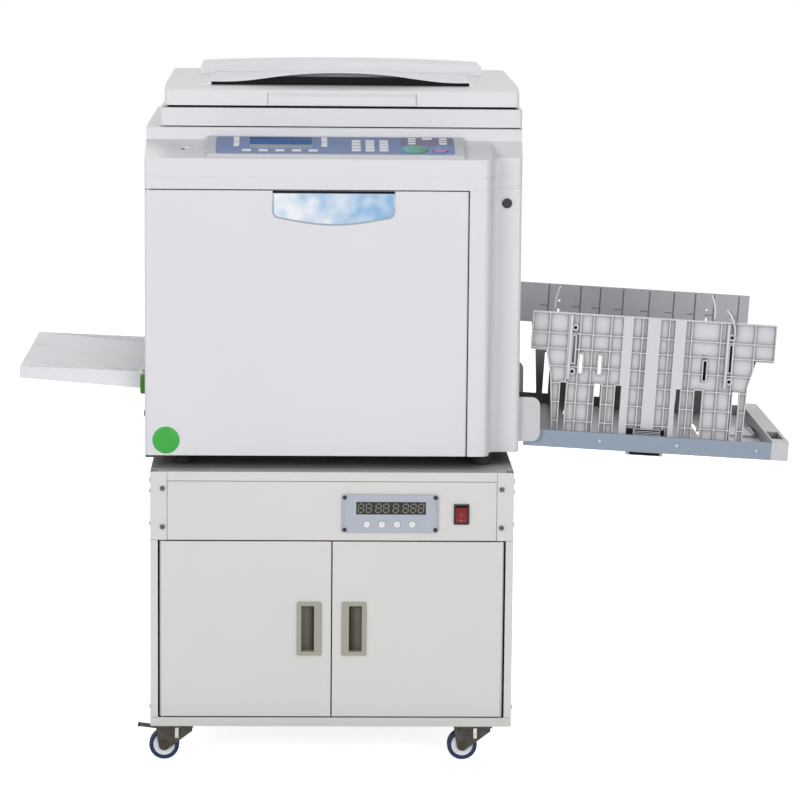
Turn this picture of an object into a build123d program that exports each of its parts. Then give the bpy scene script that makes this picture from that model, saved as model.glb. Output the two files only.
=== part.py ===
from build123d import *
import os
from math import cos, radians, sin, tan

# A digital duplicator on its steel cabinet, in millimetres. X runs to the right as seen from the front,
# Y to the rear and Z up. The origin is on the floor under the middle of the cabinet.

# Clearances and stock thicknesses
running_fit = 0.06
seat_gap = 0.3
panel_gap = 2.0
sheet = 1.5
skin = 3.0

# Cabinet
stand_width = 600.0
stand_depth = 550.0
stand_height = 429.0
caster_height = 62.0
post_face = 12.5
post_side = 25.0
rail_height = 15.0
rail_depth = 20.0
fascia_height = 99.0
corner_plate = 15.5
stand_pin_radius = 2.0
stand_pin_length = 9.0
pivot_bush_length = 12.0
cabinet_door_depth = 16.0
door_pan_wall = 1.2
door_pivot_inset = 5.0
door_split = 1.0
screw_radius = 4.0
screw_head = 1.6
front_screw_drop = 12.8
front_screw_rise = 21.8
side_screw_drops = (16.0, 34.0, 88.5)
side_screw_rise = 31.0
seam_width = 0.9
seam_depth = 0.8

# Recessed pulls of the cabinet doors
pull_width = 40.3
pull_height = 90.0
pull_centre = 37.2
pull_border = 2.0
pull_mouth_width = 21.6
pull_mouth_height = 77.0
pull_mouth_shift = 2.4
pull_depth = 12.0
pull_lip = 1.6
pull_z = 228.0

# Counter and power switch on the cabinet's fascia
counter_width = 159.0
counter_height = 63.0
counter_x = 95.5
counter_z = 422.5
counter_thickness = 2.0
counter_case_border = 7.0
counter_case_depth = 13.0
counter_screw_inset = 4.5
counter_screw_radius = 2.0
window_width = 115.0
window_height = 21.0
window_x = 97.0
window_z = 431.5
window_recess = 0.4
counter_button_radius = 5.3
counter_button_proud = 1.8
counter_button_length = 9.0
counter_button_z = 404.6
counter_button_x = (57.0, 82.0, 107.0, 132.0)
rocker_x = 213.5
rocker_z = 421.5
rocker_width = 18.6
rocker_height = 24.4
rocker_swing = 2.0
rocker_tilt = 8.0
rocker_pivot_depth = 7.0
rocker_reach = 11.0
rocker_back = 3.5
rocker_dish = 1.6
rocker_taper = 4.0
rocker_pin_radius = 2.0
bezel_flange_width = 25.1
bezel_rim = 1.8
bezel_depth = 15.0

# Casters
wheel_radius = 25.0
wheel_width = 20.0
wheel_round = 3.0
wheel_dish = 3.0
hub_radius = 9.0
hub_proud = 0.5
axle_radius = 4.0
axle_nut_radius = 6.5
axle_nut = 2.5
caster_trail = 18.0
caster_plate = 62.0
caster_plate_thickness = 3.0
caster_left_inset = 9.0
caster_right_inset = 31.0
caster_end_inset = 1.0
fork_wall = 2.0
fork_gap = 2.0
fork_crown = 3.0
fork_front = 29.0
fork_back = 31.0
fork_rib_width = 6.5
fork_rib_proud = 1.5
fork_rib_drop = 14.0
fork_eye_radius = 9.0
swivel_pin_radius = 5.0
swivel_head_radius = 7.5
swivel_head = 1.0
bearing_radius = 15.0
bearing_height = 3.7
pedal_back = 24.0
pedal_reach = 36.0
pedal_rise = 4.5
pedal_thickness = 2.5
pedal_barrel = 2.6
pedal_pin = 1.3
pedal_drop = 2.4
pedal_tip_radius = 2.2

# Duplicator body
body_left = -310.0
body_right = 312.0
body_front = -240.0
body_rear = 340.0
body_bottom = 512.0
body_top = 1050.0
door_width = 531.0
door_height = 439.5
door_depth = 22.0
door_pin_radius = 2.5
door_corner = 6.0
door_bush_radius = 5.4
door_finger_width = 201.0
door_finger_depth = 10.0
door_finger_height = 5.0
door_sill = 3.0
foot_radius = 16.0
foot_x = 250.0
foot_front_y = -180.0
foot_rear_y = 240.0
pillar_ledge = 22.0
pillar_setback = 50.0
pillar_groove = 30.0
pillar_corner = 8.0
pillar_button_x = 287.0
pillar_button_z = 929.0
pillar_button_radius = 8.0
pillar_button_proud = 2.5

# Sloped operation panel along the front of the top
shelf_tilt = 19.0
shelf_front_z = 1004.0
shelf_depth = 75.0
edge_round = 3.0
cover_seam_z = 973.5
shelf_pocket_x = -244.0
shelf_pocket_v = 41.0
shelf_pocket_width = 14.0
shelf_pocket_height = 10.0
shelf_pocket_depth = 2.5
shelf_line_v = 47.0
shelf_line_height = 1.6
pod_left = -208.0
pod_right = 213.0
pod_rise = 7.0
pod_start = 2.0
pod_end = 78.0
key_rise = 1.2
soft_key_x = -89.0
soft_key_v = 18.0
soft_key_pitch = 27.3
soft_key_size = (15.0, 7.0)
menu_key_x = (-160.5, -16.0)
menu_key_v = (43.0, 63.0)
menu_key_size = (9.5, 17.0)
pad_key_x = (36.3, 58.8, 81.8)
pad_key_v = (21.0, 33.0, 45.0, 57.0)
pad_key_size = (14.5, 8.5)
mode_key_x = (128.3, 179.6)
mode_key_v = (49.0, 58.5, 68.0)
mode_key_size = (12.5, 5.0)
bar_key_x = 153.6
bar_key_v = 69.0
bar_key_size = (16.0, 6.0)
lcd_x = -87.5
lcd_width = 103.0
lcd_v = 49.0
lcd_height = 46.0
lcd_rise = 0.8
start_key_x = 132.0
start_key_v = 24.0
start_key_half_width = 21.3
start_key_half_height = 14.4
stop_key_x = 174.0
stop_key_radius = 13.0
control_key_length = 4.2
control_key_proud = 1.8
control_key_travel = 1.0

# Scanner, platen glass and platen cover
scanner_left = -287.0
scanner_height = 32.0
scanner_reveal = 1.8
scanner_plinth = 5.0
scanner_rear = 336.0
scanner_deck = 6.0
glass_width = 436.0
glass_depth = 304.0
glass_thickness = 3.0
glass_ledge = 5.0
glass_x = 12.0
glass_y = 60.0
cover_left = -280.0
cover_right = 307.0
cover_rear = 326.0
cover_gap = 4.0
cover_nose = 8.0
cover_front_rise = 23.0
cover_slot_rise = 30.5
cover_rear_rise = 34.0
cover_round = 8.0
grip_left = -109.0
grip_right = 135.0
grip_proud = 4.0
grip_low = 1.0
grip_high = 15.0
grip_shoulder = 22.0
slot_y = -110.0
slot_left = -204.0
slot_right = 226.0
slot_side = 22.0
slot_lift = 7.0
slot_roof = 1.6
slot_length = 50.0
arch_lift = 9.5
arch_half = 195.0
arch_flat = 100.0
arch_rear_share = 0.15
hood_left = -229.0
hood_right = 260.0
hood_y = 160.0
hood_rear = 322.0
hood_rise = 15.0
hood_crown = 6.0
pad_thickness = 7.0
pad_margin = 30.0
pad_rib_shares = (0.1, 0.3, 0.5, 0.7, 0.9)
hinge_pin_radius = 3.0
hinge_radius = 6.0
hinge_half = 9.0
hinge_knuckle = 14.0
hinge_spread = 190.0
hinge_z_above_deck = 12.0

# Printing drum, rollers and the plates that carry them
drum_x = -40.0
drum_z = 745.0
drum_radius = 95.0
drum_half_length = 190.0
drum_wall = 3.0
drum_flange = 8.0
drum_tube_radius = 48.0
drum_tube_wall = 3.0
drum_tail_radius = 12.0
drum_bridge_width = 216.0
drum_bridge_height = 36.0
drum_bridge = 4.0
drum_grip_width = 53.0
drum_grip_bar = 9.0
drum_grip_proud = 20.0
frame_front_y = -210.0
frame_rear_y = 290.0
frame_sheet = 2.0
frame_side_gap = 7.0
drum_opening_radius = 100.0
roller_radius = 20.0
roller_half_length = 180.0
roller_nip = 0.4
journal_radius = 8.0
bottle_front = 12.0
bottle_rear_y = 90.0
bottle_knob_radius = 34.0
pickup_x = -280.0
pickup_z = 666.0
pickup_radius = 18.0
pickup_half_length = 30.0
pickup_shaft_radius = 5.0

# Paper feed side
paper_centre = 50.0
feed_tilt = 4.6
feed_depth = 440.0
feed_length = 205.0
feed_outer_skirt = 20.0
feed_inner_wall = 8.0
feed_wall = 3.0
feed_deck = 2.5
feed_hinge_x = -316.0
feed_hinge_z = 638.0
feed_deck_drop = 4.0
feed_pin_radius = 3.0
feed_lug_radius = 5.5
feed_lug_width = 10.0
feed_arm_spread = 170.0
feed_arm_width = 10.0
feed_arm_radius = 5.5
feed_mouth_depth = 380.0
feed_mouth_low = 520.0
feed_mouth_high = 695.0
feed_mouth_round = 8.0
feed_notch_y = 78.0
feed_notch_width = 72.0
feed_notch_length = 42.0
feed_notch_deep = 1.2
lift_rod_radius = 5.0
lift_rod_x = -262.0
lift_rod_spread = 100.0
lift_rod_top = 705.0
lift_bush_radius = 9.0
lift_bush_length = 16.0
lift_plate_x = (-300.0, -248.0)
lift_plate_half = 180.0
knob_y = -195.0
knob_z = 625.0
knob_radius = 16.5
knob_length = 9.0
knob_flutes = 12
knob_flute_radius = 2.4
feed_button_z = 576.0
side_button_radius = 5.0
side_button_proud = 3.0
button_stem = 6.0
stem_radius = 3.0

# Receiving tray, tilted down away from the body
tray_tilt = 3.3
tray_x = 317.0
tray_z = 520.0
tray_length = 422.0
tray_depth = 430.0
tray_start = 4.0
rail_face = 28.5
rail_sheet = 2.0
rail_flange = 8.0
tray_floor = 8.0
tray_skin = 3.0
cap_length = 29.0
cap_height = 33.0
cap_margin = 26.0
cap_pocket = 78.0
latch_u = (179.0, 240.0)
latch_drop = 7.0
stop_length = 82.0
stop_width = 90.0
stop_barrel = 2.5
stop_pin = 1.2
stop_setback = 6.0
exit_low = 560.0
exit_high = 650.0
exit_depth = 340.0
hinge_cover_width = 36.0
hinge_cover_low = 528.0
hinge_cover_high = 602.0
hinge_cover_thickness = 8.0
hinge_cover_round = 14.0
tray_pin_radius = 4.0
tray_pin_u = 14.2
tray_pin_w = 14.8

# Side fences of the receiving tray, in distances along the tray and above it
fence_spacing = 380.0
fence_skin = 3.0
fence_rib = 5.0
rib_width = 2.0
fence_top = 225.0
fence_wing = 160.5
fence_waist = 118.0
fence_foot = 12.0
fence_left = (7.0, 33.0, 43.0, 50.0)
fence_right_insets = (3.0, 33.0, 45.0, 47.3)
leg_gap_top = 107.0
leg_gap_centres = (66.0, 124.5, 159.0, 260.0, 294.5, 358.0)
leg_gap_widths = (10.0, 11.0, 10.0, 8.0, 13.0, 10.0)
rib_heights = (190.4, 164.4, 134.4, 105.5, 73.5, 42.0)
rib_places = (36.0, 69.0, 88.0, 110.0, 140.0, 193.0, 238.0, 276.0, 325.0, 348.0, 383.0)
band_centres = (168.5, 212.0, 256.5)
band_widths = (17.0, 22.0, 19.0)
slit_places = (93.0, 125.0, 302.0)
slit_z = 141.0
slit_length = 34.0
slit_width = 5.0
guide_places = (79.2, 344.2)
guide_z = 163.6
guide_length = 46.0
guide_width = 4.0
boss_places = ((79.6, 201.0), (78.8, 126.7), (344.0, 200.0), (344.4, 125.0))
boss_radius = 6.0
boss_bore = 2.2
groove_places = (60.0, 117.0, 152.0, 193.0, 240.0, 284.0, 322.0, 356.0, 400.0)
groove_width = 2.6
groove_depth = 1.2
rear_lip = 5.5
slide_slots = (98.0, 320.0)
slide_slot_width = 8.0
slide_foot_width = 7.0
slide_foot_drop = 10.0
clip_u = 212.0
clip_w = 30.0
clip_width = 46.0
clip_height = 13.0
clip_proud = 4.0

# Power inlet and louvres at the rear
inlet_x = 200.0
inlet_z = 560.0
inlet_width = 31.0
inlet_height = 25.0
inlet_mouth_width = 24.0
inlet_mouth_height = 16.5
inlet_depth = 22.0
inlet_mouth_depth = 17.0
inlet_flange = 2.0
inlet_border = 4.0
inlet_pin = 1.4
inlet_pin_length = 12.0
inlet_pin_pitch = 7.0
louvre_length = 60.0
louvre_height = 4.0
louvre_pitch = 14.0
louvre_rows = 8
louvre_column_pitch = 90.0
louvre_columns = 3
louvre_x = -140.0
louvre_z = 850.0

# Places worked out from the sizes above
front_y = -stand_depth / 2
rear_y = stand_depth / 2
half_width = stand_width / 2
side_x = half_width - post_face
stand_top_z = caster_height + stand_height
rail_low = (caster_height, caster_height + rail_height)
rail_high = (stand_top_z - rail_height, stand_top_z)
fascia_bottom = rail_high[0] - fascia_height
door_z = (rail_low[1] + panel_gap, fascia_bottom - panel_gap)
door_edge = side_x - panel_gap - 0.5
door_pivot = (door_edge - door_pivot_inset, front_y + door_pivot_inset)
stand_front = (front_y, front_y + sheet)
plate_front_y = front_y - counter_thickness
caster_left_x = caster_left_inset + caster_plate / 2 - half_width
caster_right_x = half_width - caster_right_inset - caster_plate / 2
caster_y = rear_y - caster_end_inset - caster_plate / 2
axle_z = wheel_radius
plate_low = caster_height - caster_plate_thickness
crown_high = plate_low - bearing_height
crown_low = crown_high - fork_crown
leg_inner = wheel_width / 2 + fork_gap
leg_outer = leg_inner + fork_wall
pedal_z = crown_high - pedal_drop
front_door_z = (body_bottom + 0.5, body_bottom + 0.5 + door_height)
fascia_z = front_door_z[1] + panel_gap
front_door_right = body_left + door_width
front_pivot = (body_left + door_corner, body_front + door_corner)
cover_front_edge = body_front + door_depth + panel_gap
pan_top = body_bottom + skin
pillar_x = front_door_right + panel_gap
groove_x = (pillar_x + pillar_ledge, pillar_x + pillar_ledge + pillar_groove)
pillar_face = body_front + pillar_setback
slope = tan(radians(shelf_tilt))
lip_y = body_front + shelf_depth
shelf_top_z = shelf_front_z + shelf_depth * slope
deck_z = body_top + scanner_height
scanner_front = lip_y + panel_gap
cover_z = deck_z + cover_gap
cover_front = lip_y
hinge_z = deck_z + hinge_z_above_deck
hinge_y = cover_rear + hinge_radius + 1.0
cover_middle = (cover_left + cover_right) / 2
roller_z = drum_z - drum_radius - roller_radius - roller_nip
tube_front_y = frame_front_y - drum_bridge
tray_low = paper_centre - tray_depth / 2
tray_high = paper_centre + tray_depth / 2
fence_y = paper_centre - fence_spacing / 2
fence_right = tuple(tray_length - inset for inset in fence_right_insets)
tray_top = tray_floor + tray_skin
stop_u = tray_length - stop_setback
feed_low = paper_centre - feed_depth / 2
feed_high = paper_centre + feed_depth / 2
tray_cos = cos(radians(tray_tilt))
tray_sin = sin(radians(tray_tilt))
feed_cos = cos(radians(feed_tilt))
feed_sin = sin(radians(feed_tilt))
tray_plane = Plane(origin=(tray_x, 0, tray_z), x_dir=(tray_cos, 0, -tray_sin), z_dir=(tray_sin, 0, tray_cos))
fence_inner = fence_y + fence_skin + fence_rib
fence_plane = Plane(origin=(tray_x, fence_inner, tray_z), x_dir=(tray_cos, 0, -tray_sin), z_dir=(0, -1, 0))
shelf_plane = Plane(
    origin=(0, body_front, shelf_front_z),
    x_dir=(1, 0, 0),
    z_dir=(0, -sin(radians(shelf_tilt)), cos(radians(shelf_tilt))),
)


def save(builder, name):
    """Give a finished piece its name and write it to the parts folder."""
    builder.part.label = name
    export_step(builder.part, f"parts/{name}.step")


def block(x_span, y_span, z_span, mode=Mode.ADD):
    """A rectangular block between three pairs of limits."""
    spans = [sorted(span) for span in (x_span, y_span, z_span)]
    with Locations(tuple((low + high) / 2 for low, high in spans)):
        Box(*(high - low for low, high in spans), mode=mode)


def rod(axis, centre, span, radius, mode=Mode.ADD):
    """A round bar or bore along one axis, between two limits."""
    middle = (span[0] + span[1]) / 2
    place = {
        "x": Location((middle, centre[0], centre[1]), (0, 90, 0)),
        "y": Location((centre[0], middle, centre[1]), (90, 0, 0)),
        "z": Location((centre[0], centre[1], middle)),
    }[axis]
    with Locations(place):
        Cylinder(radius, abs(span[1] - span[0]), mode=mode)


def around(centre, size):
    """The limits of a span from its middle and its length."""
    return (centre - size / 2, centre + size / 2)


def side_profile(points, x_span, mode=Mode.ADD):
    """A solid with an outline in Y and Z, drawn out along X."""
    with BuildSketch(Plane.YZ.offset(x_span[0])) as outline:
        with BuildLine():
            Polyline(*points, close=True)
        make_face()
    extrude(outline.sketch, amount=x_span[1] - x_span[0], mode=mode)


def front_profile(points, y_span, mode=Mode.ADD):
    """A solid with an outline in X and Z, drawn out along Y."""
    with BuildSketch(Plane.XZ.offset(-y_span[1])) as outline:
        with BuildLine():
            Polyline(*points, close=True)
        make_face()
    extrude(outline.sketch, amount=y_span[1] - y_span[0], mode=mode)


os.makedirs("parts", exist_ok=True)

# Cabinet frame of angle posts and box rails, with the pivot pins of both doors
with BuildPart() as stand_frame:
    for side in (-1, 1):
        for end in (-1, 1):
            x = side * half_width
            y = end * rear_y
            with BuildSketch(Plane.XY.offset(caster_height)):
                with BuildLine():
                    Polyline(
                        (x, y),
                        (x - side * post_face, y),
                        (x - side * post_face, y - end * sheet),
                        (x - side * sheet, y - end * sheet),
                        (x - side * sheet, y - end * post_side),
                        (x, y - end * post_side),
                        close=True,
                    )
                make_face()
            extrude(amount=stand_height)
        side_rail_x = (side * half_width, side * (half_width - rail_height))
        side_rail_y = around(0, stand_depth - 2 * post_side)
        block(side_rail_x, side_rail_y, rail_low)
        block(side_rail_x, side_rail_y, rail_high)
        plate_x = (side * side_x, side * (side_x - corner_plate))
        block(plate_x, stand_front, (fascia_bottom, rail_high[0]))
        tab_depth = (front_y, door_pivot[1] + door_pivot_inset)
        tab_z = (fascia_bottom, fascia_bottom + sheet)
        block(plate_x, tab_depth, tab_z)
        low_pin = (rail_low[1], rail_low[1] + stand_pin_length)
        high_pin = (fascia_bottom - stand_pin_length, fascia_bottom)
        rod("z", (side * door_pivot[0], door_pivot[1]), low_pin, stand_pin_radius)
        rod("z", (side * door_pivot[0], door_pivot[1]), high_pin, stand_pin_radius)
    for end in (-1, 1):
        rail_y = (end * rear_y, end * (rear_y - rail_depth))
        block((-side_x, side_x), rail_y, rail_low)
        block((-side_x, side_x), rail_y, rail_high)
    corner_block = (half_width - rail_height, side_x)
    for side in (-1, 1):
        for end in (-1, 1):
            tie_x = (side * corner_block[0], side * corner_block[1])
            tie_y = (end * (rear_y - rail_depth), end * (rear_y - post_side))
            block(tie_x, tie_y, rail_low)
            block(tie_x, tie_y, rail_high)
    seam_y = (front_y, front_y + seam_depth)
    for side in (-1, 1):
        plate_edge = around(side * (side_x - corner_plate), seam_width)
        block(plate_edge, seam_y, (fascia_bottom, stand_top_z), mode=Mode.SUBTRACT)
        post_x = (side * half_width, side * side_x)
        for seam_z in (fascia_bottom, rail_low[1]):
            block(post_x, seam_y, around(seam_z, seam_width), mode=Mode.SUBTRACT)
save(stand_frame, "stand_frame")

# Sheet panels of the cabinet: sides, back, floor, top and the fascia over the doors
with BuildPart() as stand_panels:
    panel_z = (rail_low[1], rail_high[0])
    for side in (-1, 1):
        side_panel_x = (side * half_width, side * (half_width - sheet))
        block(side_panel_x, around(0, stand_depth - 2 * post_side), panel_z)
    block((-side_x, side_x), (rear_y - sheet, rear_y), panel_z)
    inside_x = (rail_height - half_width, half_width - rail_height)
    inside_y = (rail_depth - rear_y, rear_y - rail_depth)
    block(inside_x, inside_y, (caster_height, caster_height + sheet))
    block(inside_x, inside_y, (stand_top_z - sheet, stand_top_z))
    fascia_x = (corner_plate - side_x, side_x - corner_plate)
    block(fascia_x, stand_front, (fascia_bottom, rail_high[0]))
    block(fascia_x, (front_y, front_y + rail_depth), (fascia_bottom, fascia_bottom + sheet))
    case_x = around(counter_x, counter_width - 2 * counter_case_border + seat_gap)
    case_z = around(counter_z, counter_height - 2 * counter_case_border + seat_gap)
    block(case_x, stand_front, case_z, mode=Mode.SUBTRACT)
    bezel_x = around(rocker_x, rocker_width + 3 * bezel_rim + seat_gap)
    bezel_z = around(rocker_z, rocker_height + 2 * rocker_swing + 2 * bezel_rim + seat_gap)
    block(bezel_x, stand_front, bezel_z, mode=Mode.SUBTRACT)
    for edge_x in fascia_x:
        block(around(edge_x, seam_width), seam_y, (fascia_bottom, rail_high[0]), mode=Mode.SUBTRACT)
    block(fascia_x, seam_y, (rail_high[0] - seam_width, rail_high[0]), mode=Mode.SUBTRACT)
save(stand_panels, "stand_panels")

# Screw heads at the corners of the cabinet, front and sides
with BuildPart() as stand_screws:
    for side in (-1, 1):
        for height in (rail_high[0] - front_screw_drop, fascia_bottom + front_screw_rise):
            head = (front_y - screw_head, front_y)
            rod("y", (side * (side_x - corner_plate / 2), height), head, screw_radius)
        side_heights = [stand_top_z - drop for drop in side_screw_drops]
        for height in (*side_heights, caster_height + side_screw_rise):
            for end in (-1, 1):
                head = sorted((side * half_width, side * (half_width + screw_head)))
                rod("x", (end * (rear_y - post_side / 2), height), head, screw_radius)
save(stand_screws, "stand_screws")

# Counter plate with the window, the button holes and the corner screw holes
with BuildPart() as counter_plate:
    with BuildSketch(Plane.XZ.offset(-front_y)):
        with Locations((counter_x, counter_z)):
            RectangleRounded(counter_width, counter_height, skin)
            corner_x = counter_width - 2 * counter_screw_inset
            with GridLocations(corner_x, counter_height - 2 * counter_screw_inset, 2, 2):
                Circle(counter_screw_radius, mode=Mode.SUBTRACT)
        with Locations((window_x, window_z)):
            Rectangle(window_width, window_height, mode=Mode.SUBTRACT)
        with Locations(*[(x, counter_button_z) for x in counter_button_x]):
            Circle(counter_button_radius + seat_gap, mode=Mode.SUBTRACT)
    extrude(amount=counter_thickness)
save(counter_plate, "counter_plate")

# Case behind the counter plate, whose window stands in the plate's opening
with BuildPart() as counter_display:
    case_depth = (front_y, front_y + counter_case_depth)
    case_width = counter_width - 2 * counter_case_border
    case_height = counter_height - 2 * counter_case_border
    block(around(counter_x, case_width), case_depth, around(counter_z, case_height))
    glass_y_span = (plate_front_y + window_recess, front_y)
    window_size = (window_width - seat_gap, window_height - seat_gap)
    block(around(window_x, window_size[0]), glass_y_span, around(window_z, window_size[1]))
    bore_depth = (front_y, front_y + counter_button_length)
    for x in counter_button_x:
        bore_radius = counter_button_radius + running_fit
        rod("y", (x, counter_button_z), bore_depth, bore_radius, mode=Mode.SUBTRACT)
save(counter_display, "counter_display")

# Four round push buttons of the counter
for number, x in enumerate(counter_button_x, start=1):
    with BuildPart() as counter_button:
        button_front = plate_front_y - counter_button_proud
        button_y = (button_front, button_front + counter_button_length)
        rod("y", (x, counter_button_z), button_y, counter_button_radius)
        fillet(counter_button.edges().filter_by(GeomType.CIRCLE).sort_by(Axis.Y)[0], 1.0)
    save(counter_button, f"counter_button_{number}")

# Bezel of the power switch, open at the front for the rocker
with BuildPart() as rocker_bezel:
    opening_height = rocker_height + 2 * rocker_swing
    flange_y = (front_y - counter_thickness, front_y)
    block(
        around(rocker_x, bezel_flange_width),
        flange_y,
        around(rocker_z, opening_height + 3 * bezel_rim),
    )
    fillet(rocker_bezel.edges().filter_by(Axis.Y), 1.0)
    body_x = around(rocker_x, rocker_width + 3 * bezel_rim)
    body_z = around(rocker_z, opening_height + 2 * bezel_rim)
    block(body_x, (front_y, front_y + bezel_depth), body_z)
    well_x = around(rocker_x, rocker_width + 2 * seat_gap)
    well_y = (front_y - counter_thickness, front_y + bezel_depth - bezel_rim)
    block(well_x, well_y, around(rocker_z, opening_height), mode=Mode.SUBTRACT)
    pin_x = around(rocker_x, rocker_width + 3 * bezel_rim)
    rod("x", (front_y + rocker_pivot_depth, rocker_z), pin_x, rocker_pin_radius)
save(rocker_bezel, "rocker_bezel")

# Rocker, tilted to its off side, with its bore on the bezel's pin
rocker_plane = Plane(
    origin=(rocker_x - rocker_width / 2, front_y + rocker_pivot_depth, rocker_z),
    x_dir=(0, cos(radians(rocker_tilt)), sin(radians(rocker_tilt))),
    z_dir=(1, 0, 0),
)
with BuildPart() as rocker_button:
    half = rocker_height / 2
    with BuildSketch(rocker_plane):
        with BuildLine():
            ThreePointArc((-rocker_reach, -half), (rocker_dish - rocker_reach, 0), (-rocker_reach, half))
            Polyline(
                (-rocker_reach, half),
                (rocker_back, half - rocker_taper),
                (rocker_back, rocker_taper - half),
                (-rocker_reach, -half),
            )
        make_face()
        Circle(rocker_pin_radius + running_fit, mode=Mode.SUBTRACT)
    extrude(amount=rocker_width)
save(rocker_button, "rocker_button")

# Cabinet doors, folded pans with a pivot bush at each outer corner, and their recessed pulls
for side, name in ((-1, "left"), (1, "right")):
    with BuildPart() as cabinet_door:
        block((side * door_edge, side * door_split), (front_y, front_y + cabinet_door_depth), door_z)
        outer_corner = (side * door_edge, front_y, door_z[0])
        fillet(cabinet_door.edges().filter_by(Axis.Z).sort_by_distance(outer_corner)[0], door_pivot_inset)
        offset(amount=-door_pan_wall, openings=cabinet_door.faces().sort_by(Axis.Y)[-1])
        pivot = (side * door_pivot[0], door_pivot[1])
        for bush in ((door_z[0], door_z[0] + pivot_bush_length), (door_z[1] - pivot_bush_length, door_z[1])):
            rod("z", pivot, bush, door_pivot_inset - 0.2)
            rod("z", pivot, bush, stand_pin_radius + running_fit, mode=Mode.SUBTRACT)
        hole_x = around(side * pull_centre, pull_width - 2 * pull_border + 2 * seat_gap)
        hole_z = around(pull_z, pull_height - 2 * pull_border + 2 * seat_gap)
        block(hole_x, (front_y, front_y + door_pan_wall), hole_z, mode=Mode.SUBTRACT)
    save(cabinet_door, f"{name}_cabinet_door")

    with BuildPart() as door_pull:
        rim_x = around(side * pull_centre, pull_width)
        block(rim_x, (front_y - pull_lip, front_y), around(pull_z, pull_height))
        fillet(door_pull.edges().filter_by(Axis.Y), pull_border)
        cup_x = around(side * pull_centre, pull_width - 2 * pull_border)
        block(cup_x, (front_y, front_y + pull_depth), around(pull_z, pull_height - 2 * pull_border))
        mouth_x = around(side * (pull_centre + pull_mouth_shift), pull_mouth_width)
        mouth_y = (front_y - pull_lip, front_y + pull_depth - sheet)
        block(mouth_x, mouth_y, around(pull_z, pull_mouth_height), mode=Mode.SUBTRACT)
    save(door_pull, f"{name}_door_pull")

# Caster plates with their bearing races and swivel pins
caster_spots = {
    "front_left": (caster_left_x, -caster_y),
    "front_right": (caster_right_x, -caster_y),
    "rear_left": (caster_left_x, caster_y),
    "rear_right": (caster_right_x, caster_y),
}
with BuildPart() as caster_plates:
    for x, y in caster_spots.values():
        block(around(x, caster_plate), around(y, caster_plate), (plate_low, caster_height))
        rod("z", (x, y), (crown_high + seat_gap, plate_low), bearing_radius)
        rod("z", (x, y), (crown_low - seat_gap, plate_low), swivel_pin_radius)
        rod("z", (x, y), (crown_low - seat_gap - swivel_head, crown_low - seat_gap), swivel_head_radius)
save(caster_plates, "caster_plates")

# Caster forks with their axles, and the wheels on them
for name, (x, y) in caster_spots.items():
    axle_x = x - caster_trail
    with BuildPart() as caster_fork:
        block((x - caster_trail, x + fork_front), around(y, 2 * leg_outer), (crown_low, crown_high))
        for inner, outer in ((-leg_outer, -leg_inner), (leg_inner, leg_outer)):
            with BuildSketch(Plane.XZ.offset(-(y + outer))):
                with Locations((axle_x, axle_z)):
                    Circle(fork_eye_radius)
                with Locations((x + (fork_front - fork_back) / 2, crown_high - fork_crown)):
                    Rectangle(fork_front + fork_back, 2 * fork_crown)
                make_hull()
            extrude(amount=outer - inner)
        for side in (-1, 1):
            rib_y = (y + side * leg_outer, y + side * (leg_outer + fork_rib_proud))
            block((x, x + fork_rib_width), rib_y, (crown_high - fork_rib_drop, crown_high))
        rod("z", (x, y), (crown_low, crown_high), swivel_pin_radius + running_fit, mode=Mode.SUBTRACT)
        pedal_eye = (x - pedal_back, pedal_z)
        rod("y", pedal_eye, around(y, 2 * leg_outer), pedal_pin + running_fit, mode=Mode.SUBTRACT)
        rod("y", (axle_x, axle_z), around(y, 2 * leg_outer), axle_radius)
        rod("y", (axle_x, axle_z), (y - leg_outer - axle_nut, y - leg_outer), axle_nut_radius)
        rod("y", (axle_x, axle_z), (y + leg_outer, y + leg_outer + axle_nut), axle_nut_radius)
    save(caster_fork, f"caster_fork_{name}")

    with BuildPart() as caster_wheel:
        rod("y", (axle_x, axle_z), around(y, wheel_width), wheel_radius)
        fillet(caster_wheel.edges().filter_by(GeomType.CIRCLE), wheel_round)
        for end in (-1, 1):
            web_y = y + end * (wheel_width / 2 - wheel_dish)
            dish = (web_y, y + end * wheel_width / 2)
            rod("y", (axle_x, axle_z), dish, wheel_radius - 2.5 * wheel_round, mode=Mode.SUBTRACT)
            rod("y", (axle_x, axle_z), (web_y, y + end * (wheel_width / 2 + hub_proud)), hub_radius)
        bore = around(y, wheel_width + 4 * hub_proud)
        rod("y", (axle_x, axle_z), bore, axle_radius + running_fit, mode=Mode.SUBTRACT)
    save(caster_wheel, f"caster_wheel_{name}")

# Brake pedal over the front left wheel
with BuildPart() as brake_pedal:
    x, y = caster_spots["front_left"]
    eye = (x - pedal_back, pedal_z)
    rod("y", eye, around(y, 2 * leg_outer), pedal_pin)
    rod("y", eye, around(y, wheel_width), pedal_barrel)
    tip = (eye[0] - pedal_reach, eye[1] + pedal_rise)
    tread = [
        (eye[0], eye[1] - pedal_thickness / 2),
        (tip[0], tip[1] - pedal_thickness / 2),
        (tip[0], tip[1] + pedal_thickness / 2),
        (eye[0], eye[1] + pedal_thickness / 2),
    ]
    front_profile(tread, around(y, wheel_width - 1.0))
    rod("y", tip, around(y, wheel_width - 1.0), pedal_tip_radius)
save(brake_pedal, "brake_pedal")

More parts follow.
